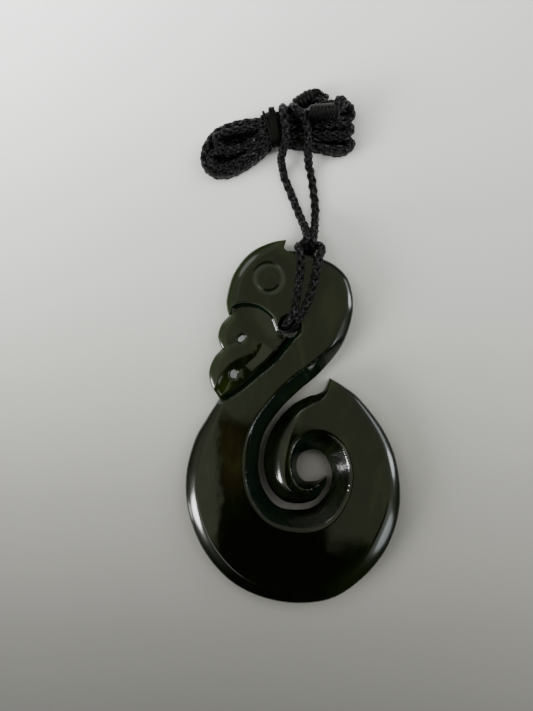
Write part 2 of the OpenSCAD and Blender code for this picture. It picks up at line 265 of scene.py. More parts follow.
@dataclass
class StoneEdge:
    """The stone's outline in millimetres, with the width and roundness of the bevel along it."""

    brow: Rows = ((-1.2, 36.1, 0.05, 1), (-4.7, 35.5, 1.6, 1), (-8.7, 33.4, 2.0, 1), (-11.8, 29.4, 2.0, 1),
                  (-13.2, 24.6, 2.0, 1), (-13.1, 22.2, 1.4, 1), (-12.7, 21.0, 1.2, 1))
    upper_lobe: Rows = ((-12.7, 21.0, 1.2, 1), (-14.2, 19.4, 1.5, 1), (-14.9, 17.3, 1.5, 1),
                        (-14.7, 15.8, 1.4, 1), (-14.1, 14.5, 1.0, 1))
    lower_lobe: Rows = ((-14.1, 14.5, 1.0, 1), (-15.7, 12.7, 1.5, 1), (-16.7, 10.0, 1.6, 1),
                        (-16.3, 7.4, 1.6, 1), (-14.7, 4.5, 1.0, 1))
    belly: Rows = ((-14.7, 4.5, 1.0, 1), (-17.2, 0.6, 2.0, 1), (-19.7, -4.0, 2.5, 1), (-21.3, -10.8, 2.6, 1),
                   (-20.8, -18.0, 2.6, 1), (-17.9, -25.4, 2.6, 1), (-12.7, -31.5, 2.6, 1),
                   (-6.2, -34.9, 2.6, 1), (1.2, -36.1, 2.6, 1), (8.4, -34.9, 2.7, 1), (14.8, -30.3, 3.1, 1),
                   (19.2, -24.3, 3.4, 1), (21.3, -16.8, 2.8, 1), (20.8, -8.8, 2.5, 1), (18.3, -2.1, 2.2, 1),
                   (13.5, 4.3, 1.6, 1), (9.9, 7.2, 0.9, 1), (7.3, 8.7, 0.3, 1))
    belly_tip: Rows = ((7.3, 8.7, 0.3, 1), (6.7, 7.3, 0.5, 0.5), (6.1, 6.1, 0.7, 0.3))
    inner_bank: Rows = ((6.1, 6.1, 0.7, 0.3), (4.9, 5.4, 1.2, 0), (3.0, 4.9, 1.6, -0.5), (0.1, 3.3, 2.2, -1),
                        (-2.7, 0.5, 3.2, -1), (-4.8, -3.2, 4.1, -1), (-5.8, -8.0, 4.2, -1),
                        (-4.8, -12.7, 3.5, -1), (-2.1, -15.7, 3.0, -1), (1.3, -16.4, 2.6, -1),
                        (4.4, -15.6, 2.0, -0.7), (6.3, -13.4, 0.9, -0.3), (6.8, -12.0, 0.4, 0),
                        (6.6, -10.7, 0.1, 0))
    spiral_eye: Rows = ((6.6, -10.7, 0.1, 0), (5.7, -11.4, 0.3, 0), (4.6, -11.9, 0.9, 0), (2.3, -11.9, 1.3, 0),
                        (1.0, -10.3, 1.2, 0), (0.8, -8.2, 1.3, 0), (1.7, -6.4, 2.0, 0), (3.3, -5.7, 3.2, 0),
                        (5.2, -5.8, 3.7, 0), (6.7, -7.1, 3.8, 0))
    outer_bank: Rows = ((6.7, -7.1, 3.8, 0), (7.6, -9.2, 3.6, 0), (7.9, -11.4, 3.4, 0), (7.1, -14.0, 3.5, 0),
                        (4.7, -16.8, 3.8, 0), (1.3, -17.7, 3.6, 0), (-3.2, -16.9, 3.1, 0),
                        (-6.1, -13.0, 2.9, 0), (-6.8, -8.0, 2.8, 0), (-5.8, -2.6, 2.8, 0), (-2.6, 2.3, 2.8, 0),
                        (1.3, 6.2, 2.9, 0), (5.3, 9.6, 2.6, 0.2), (9.3, 14.3, 1.9, 0.6), (11.3, 18.8, 2.2, 1),
                        (12.0, 23.4, 1.8, 1), (11.0, 28.2, 1.6, 1), (8.2, 31.2, 1.8, 1), (4.0, 33.0, 1.5, 1),
                        (0.4, 33.8, 1.0, 1), (-1.2, 33.9, 0.5, 1))
    brow_notch: Rows = ((-1.2, 33.9, 0.5, 1), (-1.7, 34.5, 0.3, 1), (-1.5, 35.3, 0.1, 1),
                        (-1.2, 36.1, 0.05, 1))
    spacing: float = 0.08
    back_share: float = 0.7
    crest: float = 0.12
    swell: float = 2.5
    fall: float = 0.55
    fall_power: float = 1.5
    corner: Pair = (0.26, 1.2)
    bank_drop: float = 3.1
    bank_steep: float = 0.44
    slope_end: float = 0.97
    widest: float = 4.4
    block: float = 2.5
    far: float = 9.0
    points: np.ndarray = field(init=False)

    def __post_init__(self) -> None:
        """Lays the outline's tables end to end as one closed line of close points."""
        runs = (self.brow, self.upper_lobe, self.lower_lobe, self.belly, self.belly_tip, self.inner_bank,
                self.spiral_eye, self.outer_bank, self.brow_notch)
        self.points = np.concatenate([even_points(smooth_rows(r, 40), self.spacing)[:-1] for r in runs])

    def inside(self, at: np.ndarray) -> np.ndarray:
        """Tells which points in plan lie inside the outline.

        Args:
            at: the points in plan.

        Returns:
            True for each point inside.
        """
        a, b = self.points[:, :2], np.roll(self.points[:, :2], -1, axis=0)
        odd = np.zeros(len(at), bool)
        for y in np.unique(at[:, 1]):
            row = at[:, 1] == y
            spans = (a[:, 1] > y) != (b[:, 1] > y)
            x = a[spans, 0] + (y - a[spans, 1]) / (b[spans, 1] - a[spans, 1]) * (b[spans, 0] - a[spans, 0])
            odd[row] = (np.searchsorted(np.sort(x), at[row, 0]) % 2) == 1
        return odd

    def drop(self, r: np.ndarray, width: np.ndarray, roundness: np.ndarray) -> np.ndarray:
        """How far the front lies below the flat beside the outline.

        Args:
            r: distance from the outline.
            width: width of the bevel.
            roundness: 0 for the plain bank of the spiral, 1 for the worn bevel with its soft corner and
                -1 for a bank that rounds over to the flat.

        Returns:
            The drop in millimetres.
        """
        u = r / width
        worn = self.fall * width * (1 - np.clip(u, 0, 1)) ** self.fall_power
        x = np.clip(1 - r / self.corner[0], 0, 1)
        worn = worn + self.corner[1] * (1 - np.sqrt(1 - x * x))
        bank = self.bank_drop * (1 - soft_min(u, np.ones_like(u), self.crest))
        k = self.bank_steep
        v = 1 - np.clip(u, 0, 1)
        curved = self.bank_drop * np.where(u > k, v * v / (1 - k * k), (2 * v + k - 1) / (1 + k))
        over = np.clip(-roundness, 0, 1)
        bank = over * curved + (1 - over) * bank
        roundness = np.maximum(roundness, 0)
        return roundness * worn + (1 - roundness) * bank

    def profile(self, u: np.ndarray, roundness: np.ndarray) -> np.ndarray:
        """Height of the back's bevel as a share of its whole rise.

        Args:
            u: distance from the outline as a share of the bevel's width.
            roundness: 0 for a plain slope and 1 for a quarter round.

        Returns:
            The share, 1 on the flat.
        """
        v = np.clip(u, 0, 1)
        roundness = np.maximum(roundness, 0)
        slope = soft_min(u, np.ones_like(u), self.crest)
        return (1 - roundness) * slope + roundness * np.sqrt(1 - (1 - v) ** self.swell)

    def reach(self, at: np.ndarray) -> dict[str, np.ndarray]:
        """Measures points inside the outline against the bevels.

        Args:
            at: the points in plan.

        Returns:
            For each point the distance to the outline, the least share of a bevel's width that it lies
            in, how far the front lies below the flat, the height of the back's bevel as a share of its
            rise, how far it lies on a plain bank, and how far the nearest edge lies towards +X.
        """
        start = {"distance": self.far, "width": self.far, "front": 0.0, "back": 1.0, "bank": 0.0,
                 "facing": 0.0}
        out = {k: np.full(len(at), v) for k, v in start.items()}
        key = np.floor(at / self.block).astype(int)
        order = np.lexsort((key[:, 1], key[:, 0]))
        starts = np.flatnonzero(np.r_[True, np.any(np.diff(key[order], axis=0) != 0, axis=1)])
        edge = self.points
        following = np.roll(edge, -1, axis=0)
        for rows in np.split(order, starts[1:]):
            p = at[rows]
            low, high = p.min(0) - self.widest, p.max(0) + self.widest
            near = np.flatnonzero(np.all((edge[:, :2] > low) & (edge[:, :2] < high), axis=1))
            if not len(near):
                continue
            a, d = edge[near, :2], following[near, :2] - edge[near, :2]
            rel = p[:, None, :] - a[None]
            t = np.clip(np.einsum("ijk,jk->ij", rel, d) / np.einsum("jk,jk->j", d, d), 0, 1)
            r = np.linalg.norm(rel - t[..., None] * d, axis=2)
            w = edge[near, 2] + t * (following[near, 2] - edge[near, 2])
            k = edge[near, 3] + t * (following[near, 3] - edge[near, 3])
            out["distance"][rows] = r.min(1)
            out["width"][rows] = (r / w).min(1)
            out["front"][rows] = self.drop(r, w, k).max(1)
            out["back"][rows] = self.profile(r / w / self.back_share, k).min(1)
            nearest = np.argmin(r / w, axis=1)[:, None]
            on_slope = (r / w).min(1) < self.slope_end
            out["bank"][rows] = (1 - np.abs(np.take_along_axis(k, nearest, 1)[:, 0])) * on_slope
            closest = np.argmin(r, axis=1)
            toward = t[np.arange(len(p)), closest] * d[closest, 0] - rel[np.arange(len(p)), closest, 0]
            out["facing"][rows] = toward / np.maximum(r.min(1), 1e-3)
        return out


@dataclass
class StoneRelief:
    """The forms carved into the stone, as heights over its plan in millimetres."""

    edge: StoneEdge = field(default_factory=StoneEdge)
    thickness: float = 7.2
    rim_low: float = 3.4
    back_relief: Rows = ((6, 0), (8, 0.25), (13.5, 1.75), (40, 1.75))
    back_blend: float = 0.1
    beak_z: float = 6.0
    beak_bevel: float = 0.6
    beak_dish: float = 0.09
    dish_rise: Pair = (12.5, 4.0)
    dish_width: float = 3.5
    beak_step: Rows = ((-20, 21.0), (-12.9, 21.2), (-11.9, 22.6), (-10.3, 23.2), (-8.5, 23.2), (-6.2, 22.4),
                       (-4.1, 20.6), (-3.1, 18.3), (-2.6, 17.7), (-1.6, 17.1), (-0.6, 16.4), (-2.0, 14.8),
                       (-3.4, 13.1), (-7.1, 9.8), (-10.5, 6.8), (-14.7, 4.3), (-20, 4.3))
    cove_in: float = 0.3
    cove_out: float = 0.25
    cove_over: float = 0.05
    step_crest: Pair = (0.3, 0.36)
    crest_start: float = -0.2
    crest_end: float = -3.0
    clear: float = 9
    crest_blend: float = 0.08
    beak_blend: float = 0.1
    cleft: Rows = ((-0.5, 16.6), (-2.0, 14.7), (-3.4, 13.0), (-5.2, 11.3), (-7.1, 9.8), (-8.9, 8.2),
                   (-10.5, 6.9), (-12.3, 5.7), (-14.6, 4.5), (-16.0, 3.8))
    cleft_z: float = 4.9
    beak_slope: float = 1.6
    neck_slope: float = 3.0
    cleft_foot: Pair = (0.006, 0.07)
    cleft_blend: float = 0.1
    valley: Rows = ((-5.4, 18.1), (-7.0, 16.3), (-8.5, 14.4), (-10.3, 12.8), (-12.5, 11.2), (-14.2, 9.2),
                    (-15.6, 6.2))
    valley_wall: float = 1.7
    valley_turn: float = 50
    valley_depth: Rows = ((-6.0, 0.24), (0.0, 0.24), (2.5, 0.22), (5.5, 0.13), (8.2, 0.0))
    valley_tilt: tuple[float, float, float, float] = (-9.0, 12.6, -95, 0.05)
    tilt_blend: float = 0.3
    lobe_line: Rows = ((-14.6, 14.3), (-12.4, 15.3), (-10.3, 16.4))
    lobe_depth: float = 0.018
    lobe_half: float = 0.9
    eye_ring: Pair = (-4.95, 28.3)
    eye_ring_r: float = 2.76
    eye_groove_r: float = 0.62
    eye_groove_depth: float = 0.13
    eye_groove_power: float = 1.5
    cord_hole: Pair = (-0.7, 18.6)
    cord_hole_d: float = 3.7
    upper_hole: tuple[float, ...] = (-10.2, 16.5, 40, 1.7, 1.05)
    lower_hole: tuple[float, ...] = (-11.8, 9.4, 80, 1.85, 1.4)
    sink_depth: float = 0.8
    sink_slope: float = 1.6 / 1.2
    sink_blend: float = 0.25
    hole_edge: float = 0.18
    hole_edge_r: float = 0.22
    # Middle and size of a spot of painted glow in the beak.
    painted_glow_spot: Rows = ((-14.0, 7.6), (3.2, 4.2))
    tip: Pair = (7.3, 8.7)
    # Half width of the painted highlight along the step's crest, and its share in the eye ring's groove.
    painted_highlight_half: float = 0.13
    painted_ring_highlight: float = 0.2
    # Middle and size of the body's painted shade.
    painted_shade_middle: Rows = ((-1.0, -26.0), (15.0, 13.0))

    def __post_init__(self) -> None:
        """Smooths the carved lines."""
        self.step_line = smooth_rows(self.beak_step, 6)[:, :2]
        self.cleft_line = smooth_rows(self.cleft, 4)[:, :2]
        self.valley_line = smooth_rows(self.valley, 4)[:, :2]
        self.lobe = np.asarray(self.lobe_line, float)

    def slot_reach(self, at: np.ndarray, hole: tuple[float, ...]) -> np.ndarray:
        """Distance outside a through hole with round ends.

        Args:
            at: the points in plan.
            hole: x, y, turn in degrees, length and width of the hole.

        Returns:
            The distance of each point, negative inside the hole.
        """
        x, y, turn, long, wide = hole
        run = (long - wide) / 2 * np.array([math.cos(math.radians(turn)), math.sin(math.radians(turn))])
        middle = np.array([x, y])
        return polyline_reach(at, np.array([middle - run, middle + run]))[0] - wide / 2

    def cord_reach(self, at: np.ndarray) -> np.ndarray:
        """Distance outside the cord's hole."""
        return round_reach(at, self.cord_hole, self.cord_hole_d / 2)

    def hole_reach(self, at: np.ndarray) -> np.ndarray:
        """Distance outside the nearest of the three through holes."""
        slots = [self.slot_reach(at, hole) for hole in (self.upper_hole, self.lower_hole)]
        return np.minimum.reduce([self.cord_reach(at), *slots])

    def ring_reach(self, at: np.ndarray) -> np.ndarray:
        """Distance from the middle of the ring's groove."""
        return np.abs(round_reach(at, self.eye_ring, self.eye_ring_r))

    def step_reach(self, at: np.ndarray) -> np.ndarray:
        """Measures from the edge of the beak's step.

        Args:
            at: the points in plan.

        Returns:
            The distance of each point, negative on the beak.
        """
        reach = polyline_reach(at, self.step_line)[0]
        a, b = self.step_line, np.roll(self.step_line, -1, axis=0)
        odd = np.zeros(len(at), bool)
        for p, q in zip(a, b):
            if p[1] == q[1]:
                continue
            spans = (p[1] > at[:, 1]) != (q[1] > at[:, 1])
            odd ^= spans & (at[:, 0] < p[0] + (at[:, 1] - p[1]) / (q[1] - p[1]) * (q[0] - p[0]))
        return np.where(odd, -reach, reach)

    def cleft_reach(self, at: np.ndarray) -> np.ndarray:
        """Distance from the cleft between beak and neck, negative on the beak's side."""
        return sided_reach(at, self.cleft_line)

    def valley_reach(self, at: np.ndarray) -> np.ndarray:
        """Distance from the upper edge of the beak's valley, negative outside it."""
        return sided_reach(at, self.valley_line)

    def valley_floor(self, at: np.ndarray) -> np.ndarray:
        """Height of the beak where its valley dips and tilts towards the cleft.

        Args:
            at: the points in plan.

        Returns:
            The height at each point.
        """
        turn = math.radians(self.valley_turn)
        depth = np.interp(at @ np.array([math.cos(turn), math.sin(turn)]), *np.array(self.valley_depth).T)
        x, y, turn, slope = self.valley_tilt
        turn = math.radians(turn)
        down = (at[:, 0] - x) * math.cos(turn) + (at[:, 1] - y) * math.sin(turn)
        tilt = slope * (down + np.sqrt(down * down + self.tilt_blend)) / 2
        e = self.valley_reach(at)
        return self.beak_z - depth * ease(e / self.valley_wall) - tilt * eased(e, -0.2, 0.7)

    def beak_surface(self, at: np.ndarray) -> np.ndarray:
        """Height of the beak, coving up to the head at its step.

        Args:
            at: the points in plan.

        Returns:
            The height at each point.
        """
        step = self.step_reach(at)
        q = (step + self.cove_in) / (self.cove_in + self.cove_out)
        rise = self.thickness + self.cove_over - self.beak_z
        cove = rise * np.where(q < 1, np.clip(q, 0, 1) ** 2, 2 * q - 1)
        dish = self.beak_dish * eased(at[:, 1], *self.dish_rise)
        z = self.valley_floor(at) + cove + dish * np.clip(1 + step / self.dish_width, 0, 1) ** 2
        reach = polyline_reach(at, self.lobe)[0]
        return z - self.lobe_depth * np.clip(1 - reach / self.lobe_half, 0, 1) ** 2 * (cove < 0.5)

    def front(self, at: np.ndarray) -> np.ndarray:
        """Height of the carved front.

        Args:
            at: the points in plan.

        Returns:
            The height at each point.
        """
        drop = self.edge.reach(at)["front"]
        z = self.thickness - drop
        slope, start = self.step_crest
        step = self.step_reach(at)
        crest = self.thickness + slope * (np.maximum(step, self.crest_start) - start)
        z = soft_min(z, crest + self.clear * (step < self.crest_end), self.crest_blend)
        z = soft_min(z, self.beak_surface(at) - self.beak_bevel * drop, self.beak_blend)
        e = self.cleft_reach(at)
        wall = np.where(e > 0, self.neck_slope, self.beak_slope)
        rounding, sunk = self.cleft_foot
        z = soft_min(z, self.cleft_z + wall * (np.sqrt(e * e + rounding) - sunk), self.cleft_blend)
        ring = self.ring_reach(at) / self.eye_groove_r
        z = z - self.eye_groove_depth * np.clip(1 - ring**2, 0, 1) ** self.eye_groove_power
        sink = self.thickness - self.sink_depth + self.cord_reach(at) * self.sink_slope
        z = soft_min(z, sink, self.sink_blend)
        return z - self.hole_edge * (1 - ease(self.hole_reach(at) / self.hole_edge_r))

    def painted_glow(self, at: np.ndarray, front: np.ndarray) -> np.ndarray:
        """How much painted glow each point gets: green painted into the colour where light would shine through
        the thin stone.

        Args:
            at: points in plan.
            front: the height of the front there.

        Returns:
            The share for each point, highest low in the beak's valley and along the head's edges.
        """
        x, y = at[:, 0], at[:, 1]
        rim = self.edge.reach(at)["distance"]
        beak = (self.step_reach(at) < 0) & (self.cleft_reach(at) < -0.2)
        low = eased(front, self.beak_z - 0.1, -0.8) * eased(y, 15.0, -6.0)
        middle, size = np.array(self.painted_glow_spot)
        spot = 1 - ease(np.linalg.norm((at - middle) / size, axis=1))
        head = eased(y, 2.0, 6.0) * eased(x, 6.0, -8.0) * (1 - ease(rim / 2.2))
        heel = eased(x, 4.0, 8.0) * eased(y, -22.0, -8.0) * (1 - ease(rim / 6.0))
        tip = 1 - ease(round_reach(at, self.tip, 0) / 3.5)
        painted_beak_glow = np.where(beak, np.maximum(0.16 * low, 0.55 * spot * (0.4 + 0.6 * low)), 0.0)
        return np.maximum.reduce([painted_beak_glow, 0.4 * head, 0.16 * heel, 0.3 * tip])

    def painted_crest_highlight(self, at: np.ndarray) -> np.ndarray:
        """Where a pale highlight is painted along the step's crest and in the eye ring's groove.

        Args:
            at: the points in plan.

        Returns:
            The share of the painted highlight at each point.
        """
        line = 1 - ease(np.abs(self.step_reach(at) - self.step_crest[1]) / self.painted_highlight_half)
        along = 0.45 + 0.55 * eased(at[:, 0], -6.0, 2.5)
        ends = eased(at[:, 0], -12.4, 1.5) * eased(at[:, 1], 16.6, 2.0)
        ring = self.painted_ring_highlight * (1 - ease(self.ring_reach(at) / self.eye_groove_r))
        return np.maximum(line * along * ends, ring)

    def pale(self, at: np.ndarray) -> np.ndarray:
        """How much of the stone's paler clouds shows; towards the middle of the body they are painted over
        with the darkest tone as painted shade.
        """
        middle, size = np.array(self.painted_shade_middle)
        return eased((((at - middle) / size) ** 2).sum(axis=1), 0.45, 1.0)

    def green(self, at: np.ndarray, bank: np.ndarray, facing: np.ndarray) -> np.ndarray:
        """How much painted green glow the stone shows, standing in for light: most on banks towards +X, in the
        cleft and in the step's cove.

        Args:
            at: points in plan.
            bank: how far each lies on a plain bank.
            facing: how far the nearest edge lies towards +X.

        Returns:
            The share for each point.
        """
        e = self.cleft_reach(at)
        cleft = eased(e, 0.05, 0.15) * (1 - eased(e, 0.8, 0.25)) * (np.abs(e) < 2)
        step = self.step_reach(at)
        cove = eased(step, -0.5, 0.3) * (1 - eased(step, 0.25, 0.2)) * eased(at[:, 1], 16.0, 2.0)
        # Painted light: banks towards +X get more of the green glow than banks facing away.
        return np.maximum.reduce([bank * eased(facing, -0.3, 0.9), 0.7 * cleft, 0.75 * cove])

    def back(self, at: np.ndarray) -> np.ndarray:
        """Height of the plain back over points in plan."""
        z = self.rim_low * (1 - self.edge.reach(at)["back"])
        relief = np.interp(at[:, 1], *np.array(self.back_relief).T)
        return -soft_min(-z, -relief, self.back_blend)


@dataclass
class PlanCutter:
    """Cuts a flat mesh along lines where a measure of the plan has a given value, in millimetres.

    A point moves on to a line within the share snap of the mesh's pitch, where the measure's slope, taken
    over step, is at least least_slope. Points further off than cells times the pitch aren't looked at.
    """

    bm: bmesh.types.BMesh
    pitch: float
    snap: float = 0.3
    cells: float = 4
    step: float = 0.02
    least_slope: float = 0.05

    def __post_init__(self) -> None:
        """Marks none of the mesh's points as placed."""
        self.placed = self.bm.verts.layers.int.new("placed")

    def plan(self) -> np.ndarray:
        """The mesh's points in plan."""
        self.bm.verts.ensure_lookup_table()
        self.bm.verts.index_update()
        return np.array([v.co[:2] for v in self.bm.verts])

    def along(self, measure: Callable[[np.ndarray], np.ndarray], level: float, drop: bool = False) -> None:
        """Gives the mesh an edge all along one line of a measure.

        Args:
            measure: gives its value at each of some points in plan.
            level: the value on the wanted line.
            drop: whether the faces on the line's lower side go.
        """
        bm, at = self.bm, self.plan()
        value = measure(at) - level
        free = np.array([v[self.placed] == 0 for v in bm.verts])
        near = np.flatnonzero(free & (np.abs(value) < self.cells * self.pitch))
        step = self.step
        grad = np.stack([(measure(at[near] + e) - measure(at[near] - e)) / (2 * step)
                         for e in (np.array([step, 0.0]), np.array([0.0, step]))], axis=1)
        size = np.linalg.norm(grad, axis=1)
        ok = (size > self.least_slope) & (np.abs(value[near]) < self.snap * self.pitch * size)
        moved = near[ok]
        target = at[moved] - value[moved, None] * grad[ok] / size[ok, None] ** 2
        for i, p in zip(moved, target):
            bm.verts[i].co.x, bm.verts[i].co.y = p
            bm.verts[i][self.placed] = 1
        value[moved] = 0
        ends = np.array([(e.verts[0].index, e.verts[1].index) for e in bm.edges])
        crossing = np.flatnonzero(value[ends[:, 0]] * value[ends[:, 1]] < 0)
        bm.edges.ensure_lookup_table()
        edges = [bm.edges[i] for i in crossing]
        points = list(bm.verts)
        made = []
        for edge, (a, b) in zip(edges, ends[crossing]):
            share = value[a] / (value[a] - value[b])
            _, vert = bmesh.utils.edge_split(edge, points[a], float(share))
            vert[self.placed] = 1
            made.append(vert)
        on_line = [points[i] for i in np.flatnonzero(value == 0)] + made
        bmesh.ops.connect_verts(bm, verts=on_line, check_degenerate=True)
        if drop:
            bmesh.ops.delete(bm, geom=[v for v, x in zip(points, value) if x < 0], context="VERTS")


@dataclass
class PolishedStone:
    """The carved and polished stone."""

    relief: StoneRelief = field(default_factory=StoneRelief)
    pitch: float = 0.19
    rim_lines: Sequence[float] = (0.04, 0.12, 0.27)
    bevel_lines: Sequence[float] = (0.93, 1.07)
    crest_lines: Sequence[float] = (-0.14, 0.0, 0.14)
    cleft_lines: Sequence[float] = (-0.6, 0.0, 0.75)
    sharp_angle: float = 55

    def plan_mesh(self) -> bmesh.types.BMesh:
        """Cuts the stone's plan out of a fine grid, with edges along its carved lines.

        Returns:
            The flat mesh, in millimetres.
        """
        edge = self.relief.edge
        low, high = edge.points[:, :2].min(0) - 0.5, edge.points[:, :2].max(0) + 0.5
        size, middle = high - low, (high + low) / 2
        bm = bmesh.new()
        cells = [round(side / self.pitch) for side in size]
        bmesh.ops.create_grid(bm, x_segments=cells[0], y_segments=cells[1], size=0.5)
        bmesh.ops.scale(bm, vec=(size[0], size[1], 1), verts=bm.verts)
        bmesh.ops.translate(bm, vec=(middle[0], middle[1], 0), verts=bm.verts)
        cutter = PlanCutter(bm, self.pitch)
        at = cutter.plan()

        def signed(p: np.ndarray) -> np.ndarray:
            """Distance inside the outline, negative outside it."""
            return np.where(edge.inside(p), 1.0, -1.0) * edge.reach(p)["distance"]

        def distance(p: np.ndarray) -> np.ndarray:
            """Distance from the outline of points inside it."""
            return edge.reach(p)["distance"]

        def width(p: np.ndarray) -> np.ndarray:
            """Share of the bevel's width that points lie in."""
            return np.minimum(edge.reach(p)["width"], 3.0)

        outside = [v for v, r in zip(bm.verts, signed(at)) if r < -3 * self.pitch]
        bmesh.ops.delete(bm, geom=outside, context="VERTS")
        for measure in (signed, self.relief.hole_reach):
            cutter.along(measure, 0.0, drop=True)
        crest = self.relief.step_crest[1]
        for measure, levels in ((distance, self.rim_lines), (width, self.bevel_lines),
                                (self.relief.step_reach, [crest + shift for shift in self.crest_lines]),
                                (self.relief.valley_reach, (0.0,)),
                                (self.relief.cleft_reach, self.cleft_lines)):
            for level in levels:
                cutter.along(measure, level)
        return bm

    def build(self, material: bpy.types.Material) -> bpy.types.Object:
        """Raises the plan to the carved front and the plain back, and joins them round the edge.

        Args:
            material: the stone's finish.

        Returns:
            The finished piece.
        """
        bm = self.plan_mesh()
        bmesh.ops.triangulate(bm, faces=bm.faces, quad_method="SHORT_EDGE")
        at = np.array([v.co[:2] for v in bm.verts])
        front = self.relief.front(at)
        reach = self.relief.edge.reach(at)
        # Some of these shares carry painted light: a glow through the thin stone, a green glow on the banks, a
        # pale highlight along the step's crest and the eye ring, and painted shade in the body's middle.
        shares = {"below": self.relief.back(at), "painted_glow": self.relief.painted_glow(at, front), "bank": reach["bank"],
                  "green": self.relief.green(at, reach["bank"], reach["facing"]), "pale": self.relief.pale(at),
                  "crest": self.relief.painted_crest_highlight(at), "bevel": eased(reach["width"], 1.05, -0.25)}
        layers = [bm.verts.layers.float.new(name) for name in shares]
        below = layers[0]
        for v, top, row in zip(bm.verts, front, np.stack(list(shares.values()), axis=1)):
            v.co.z = top
            for layer, value in zip(layers, row):
                v[layer] = value
        rim = [e for e in bm.edges if e.is_boundary]
        LOG.info("stone plan: %d points, %d faces, %d on the rim", len(bm.verts), len(bm.faces), len(rim))
        copy = bmesh.ops.duplicate(bm, geom=bm.verts[:] + bm.edges[:] + bm.faces[:])["geom"]
        bmesh.ops.reverse_faces(bm, faces=[g for g in copy if isinstance(g, bmesh.types.BMFace)])
        wall = bmesh.ops.extrude_edge_only(bm, edges=rim)["geom"]
        foot = [g for g in wall if isinstance(g, bmesh.types.BMVert)]
        lower = [g for g in copy if isinstance(g, bmesh.types.BMVert)]
        for v in foot + lower:
            v.co.z = v[below]
        bmesh.ops.remove_doubles(bm, verts=foot + [v for v in lower if v.is_boundary], dist=1e-4)
        bmesh.ops.recalc_face_normals(bm, faces=bm.faces)
        bmesh.ops.scale(bm, vec=(MM, MM, MM), verts=bm.verts)
        LOG.info("stone: %d open edges", sum(1 for e in bm.edges if not e.is_manifold))
        mesh = bpy.data.meshes.new("stone_carving")
        bm.to_mesh(mesh)
        bm.free()
        piece = piece_of("stone_carving", mesh, material, Slot.STONE, Part.STONE)
        mesh.set_sharp_from_angle(angle=math.radians(self.sharp_angle))
        return piece


class NodeTree:
    """A tree of shader nodes that reads one kind of coordinates."""

    def __init__(self, tree: bpy.types.NodeTree, space: str) -> None:
        """Starts with the coordinates of a space."""
        self.nodes, self.links = tree.nodes, tree.links
        self.coords = self.add("TexCoord", {}).outputs[space]

    def add(self, kind: str, values: dict[str | int, Value], **settings: str) -> bpy.types.Node:
        """Adds a node.

        Args:
            kind: its type.
            values: what its inputs are linked to or set to.
            **settings: its own settings.

        Returns:
            The node.
        """
        node = self.nodes.new("ShaderNode" + kind)
        for name, setting in settings.items():
            setattr(node, name, setting)
        for key, value in values.items():
            if isinstance(value, Socket):
                self.links.new(value, node.inputs[key])
            else:
                node.inputs[key].default_value = value
        return node

    def parts(self, value: Socket) -> list[Socket]:
        """The three numbers of a place."""
        return list(self.add("SeparateXYZ", {0: value}).outputs)

    def joined(self, kind: str, a: Value, b: Value) -> Socket:
        """Joins two values with one operation."""
        return self.add("Math", {0: a, 1: b}, operation=kind).outputs[0]

    def product(self, a: Value, b: Value) -> Socket:
        """Multiplies two values."""
        return self.joined("MULTIPLY", a, b)

    def total(self, a: Value, b: Value) -> Socket:
        """Adds two values."""
        return self.joined("ADD", a, b)

    def spread(self, value: Socket, low: float, high: float, start: float = 0, end: float = 1,
               kind: str = "LINEAR") -> Socket:
        """Maps a value from one range to another.

        Args:
            value: what is mapped.
            low: result at the start.
            high: result at the end.
            start: the value where the range starts.
            end: the value where it ends.
            kind: the way from start to end.

        Returns:
            The mapped value.
        """
        return self.add("MapRange", {"Value": value, "From Min": start, "From Max": end, "To Min": low,
                                     "To Max": high}, interpolation_type=kind).outputs["Result"]

    def mix(self, share: Value, a: Value, b: Value, kind: str = "MIX") -> Socket:
        """Mixes two colours.

        Args:
            share: how much of the second colour.
            a: the first colour.
            b: the second colour.
            kind: the way they mix.

        Returns:
            The mixed colour.
        """
        a, b = ((*tone, 1) if isinstance(tone, tuple) else tone for tone in (a, b))
        return self.add("Mix", {0: share, 6: a, 7: b}, data_type="RGBA", blend_type=kind).outputs[2]


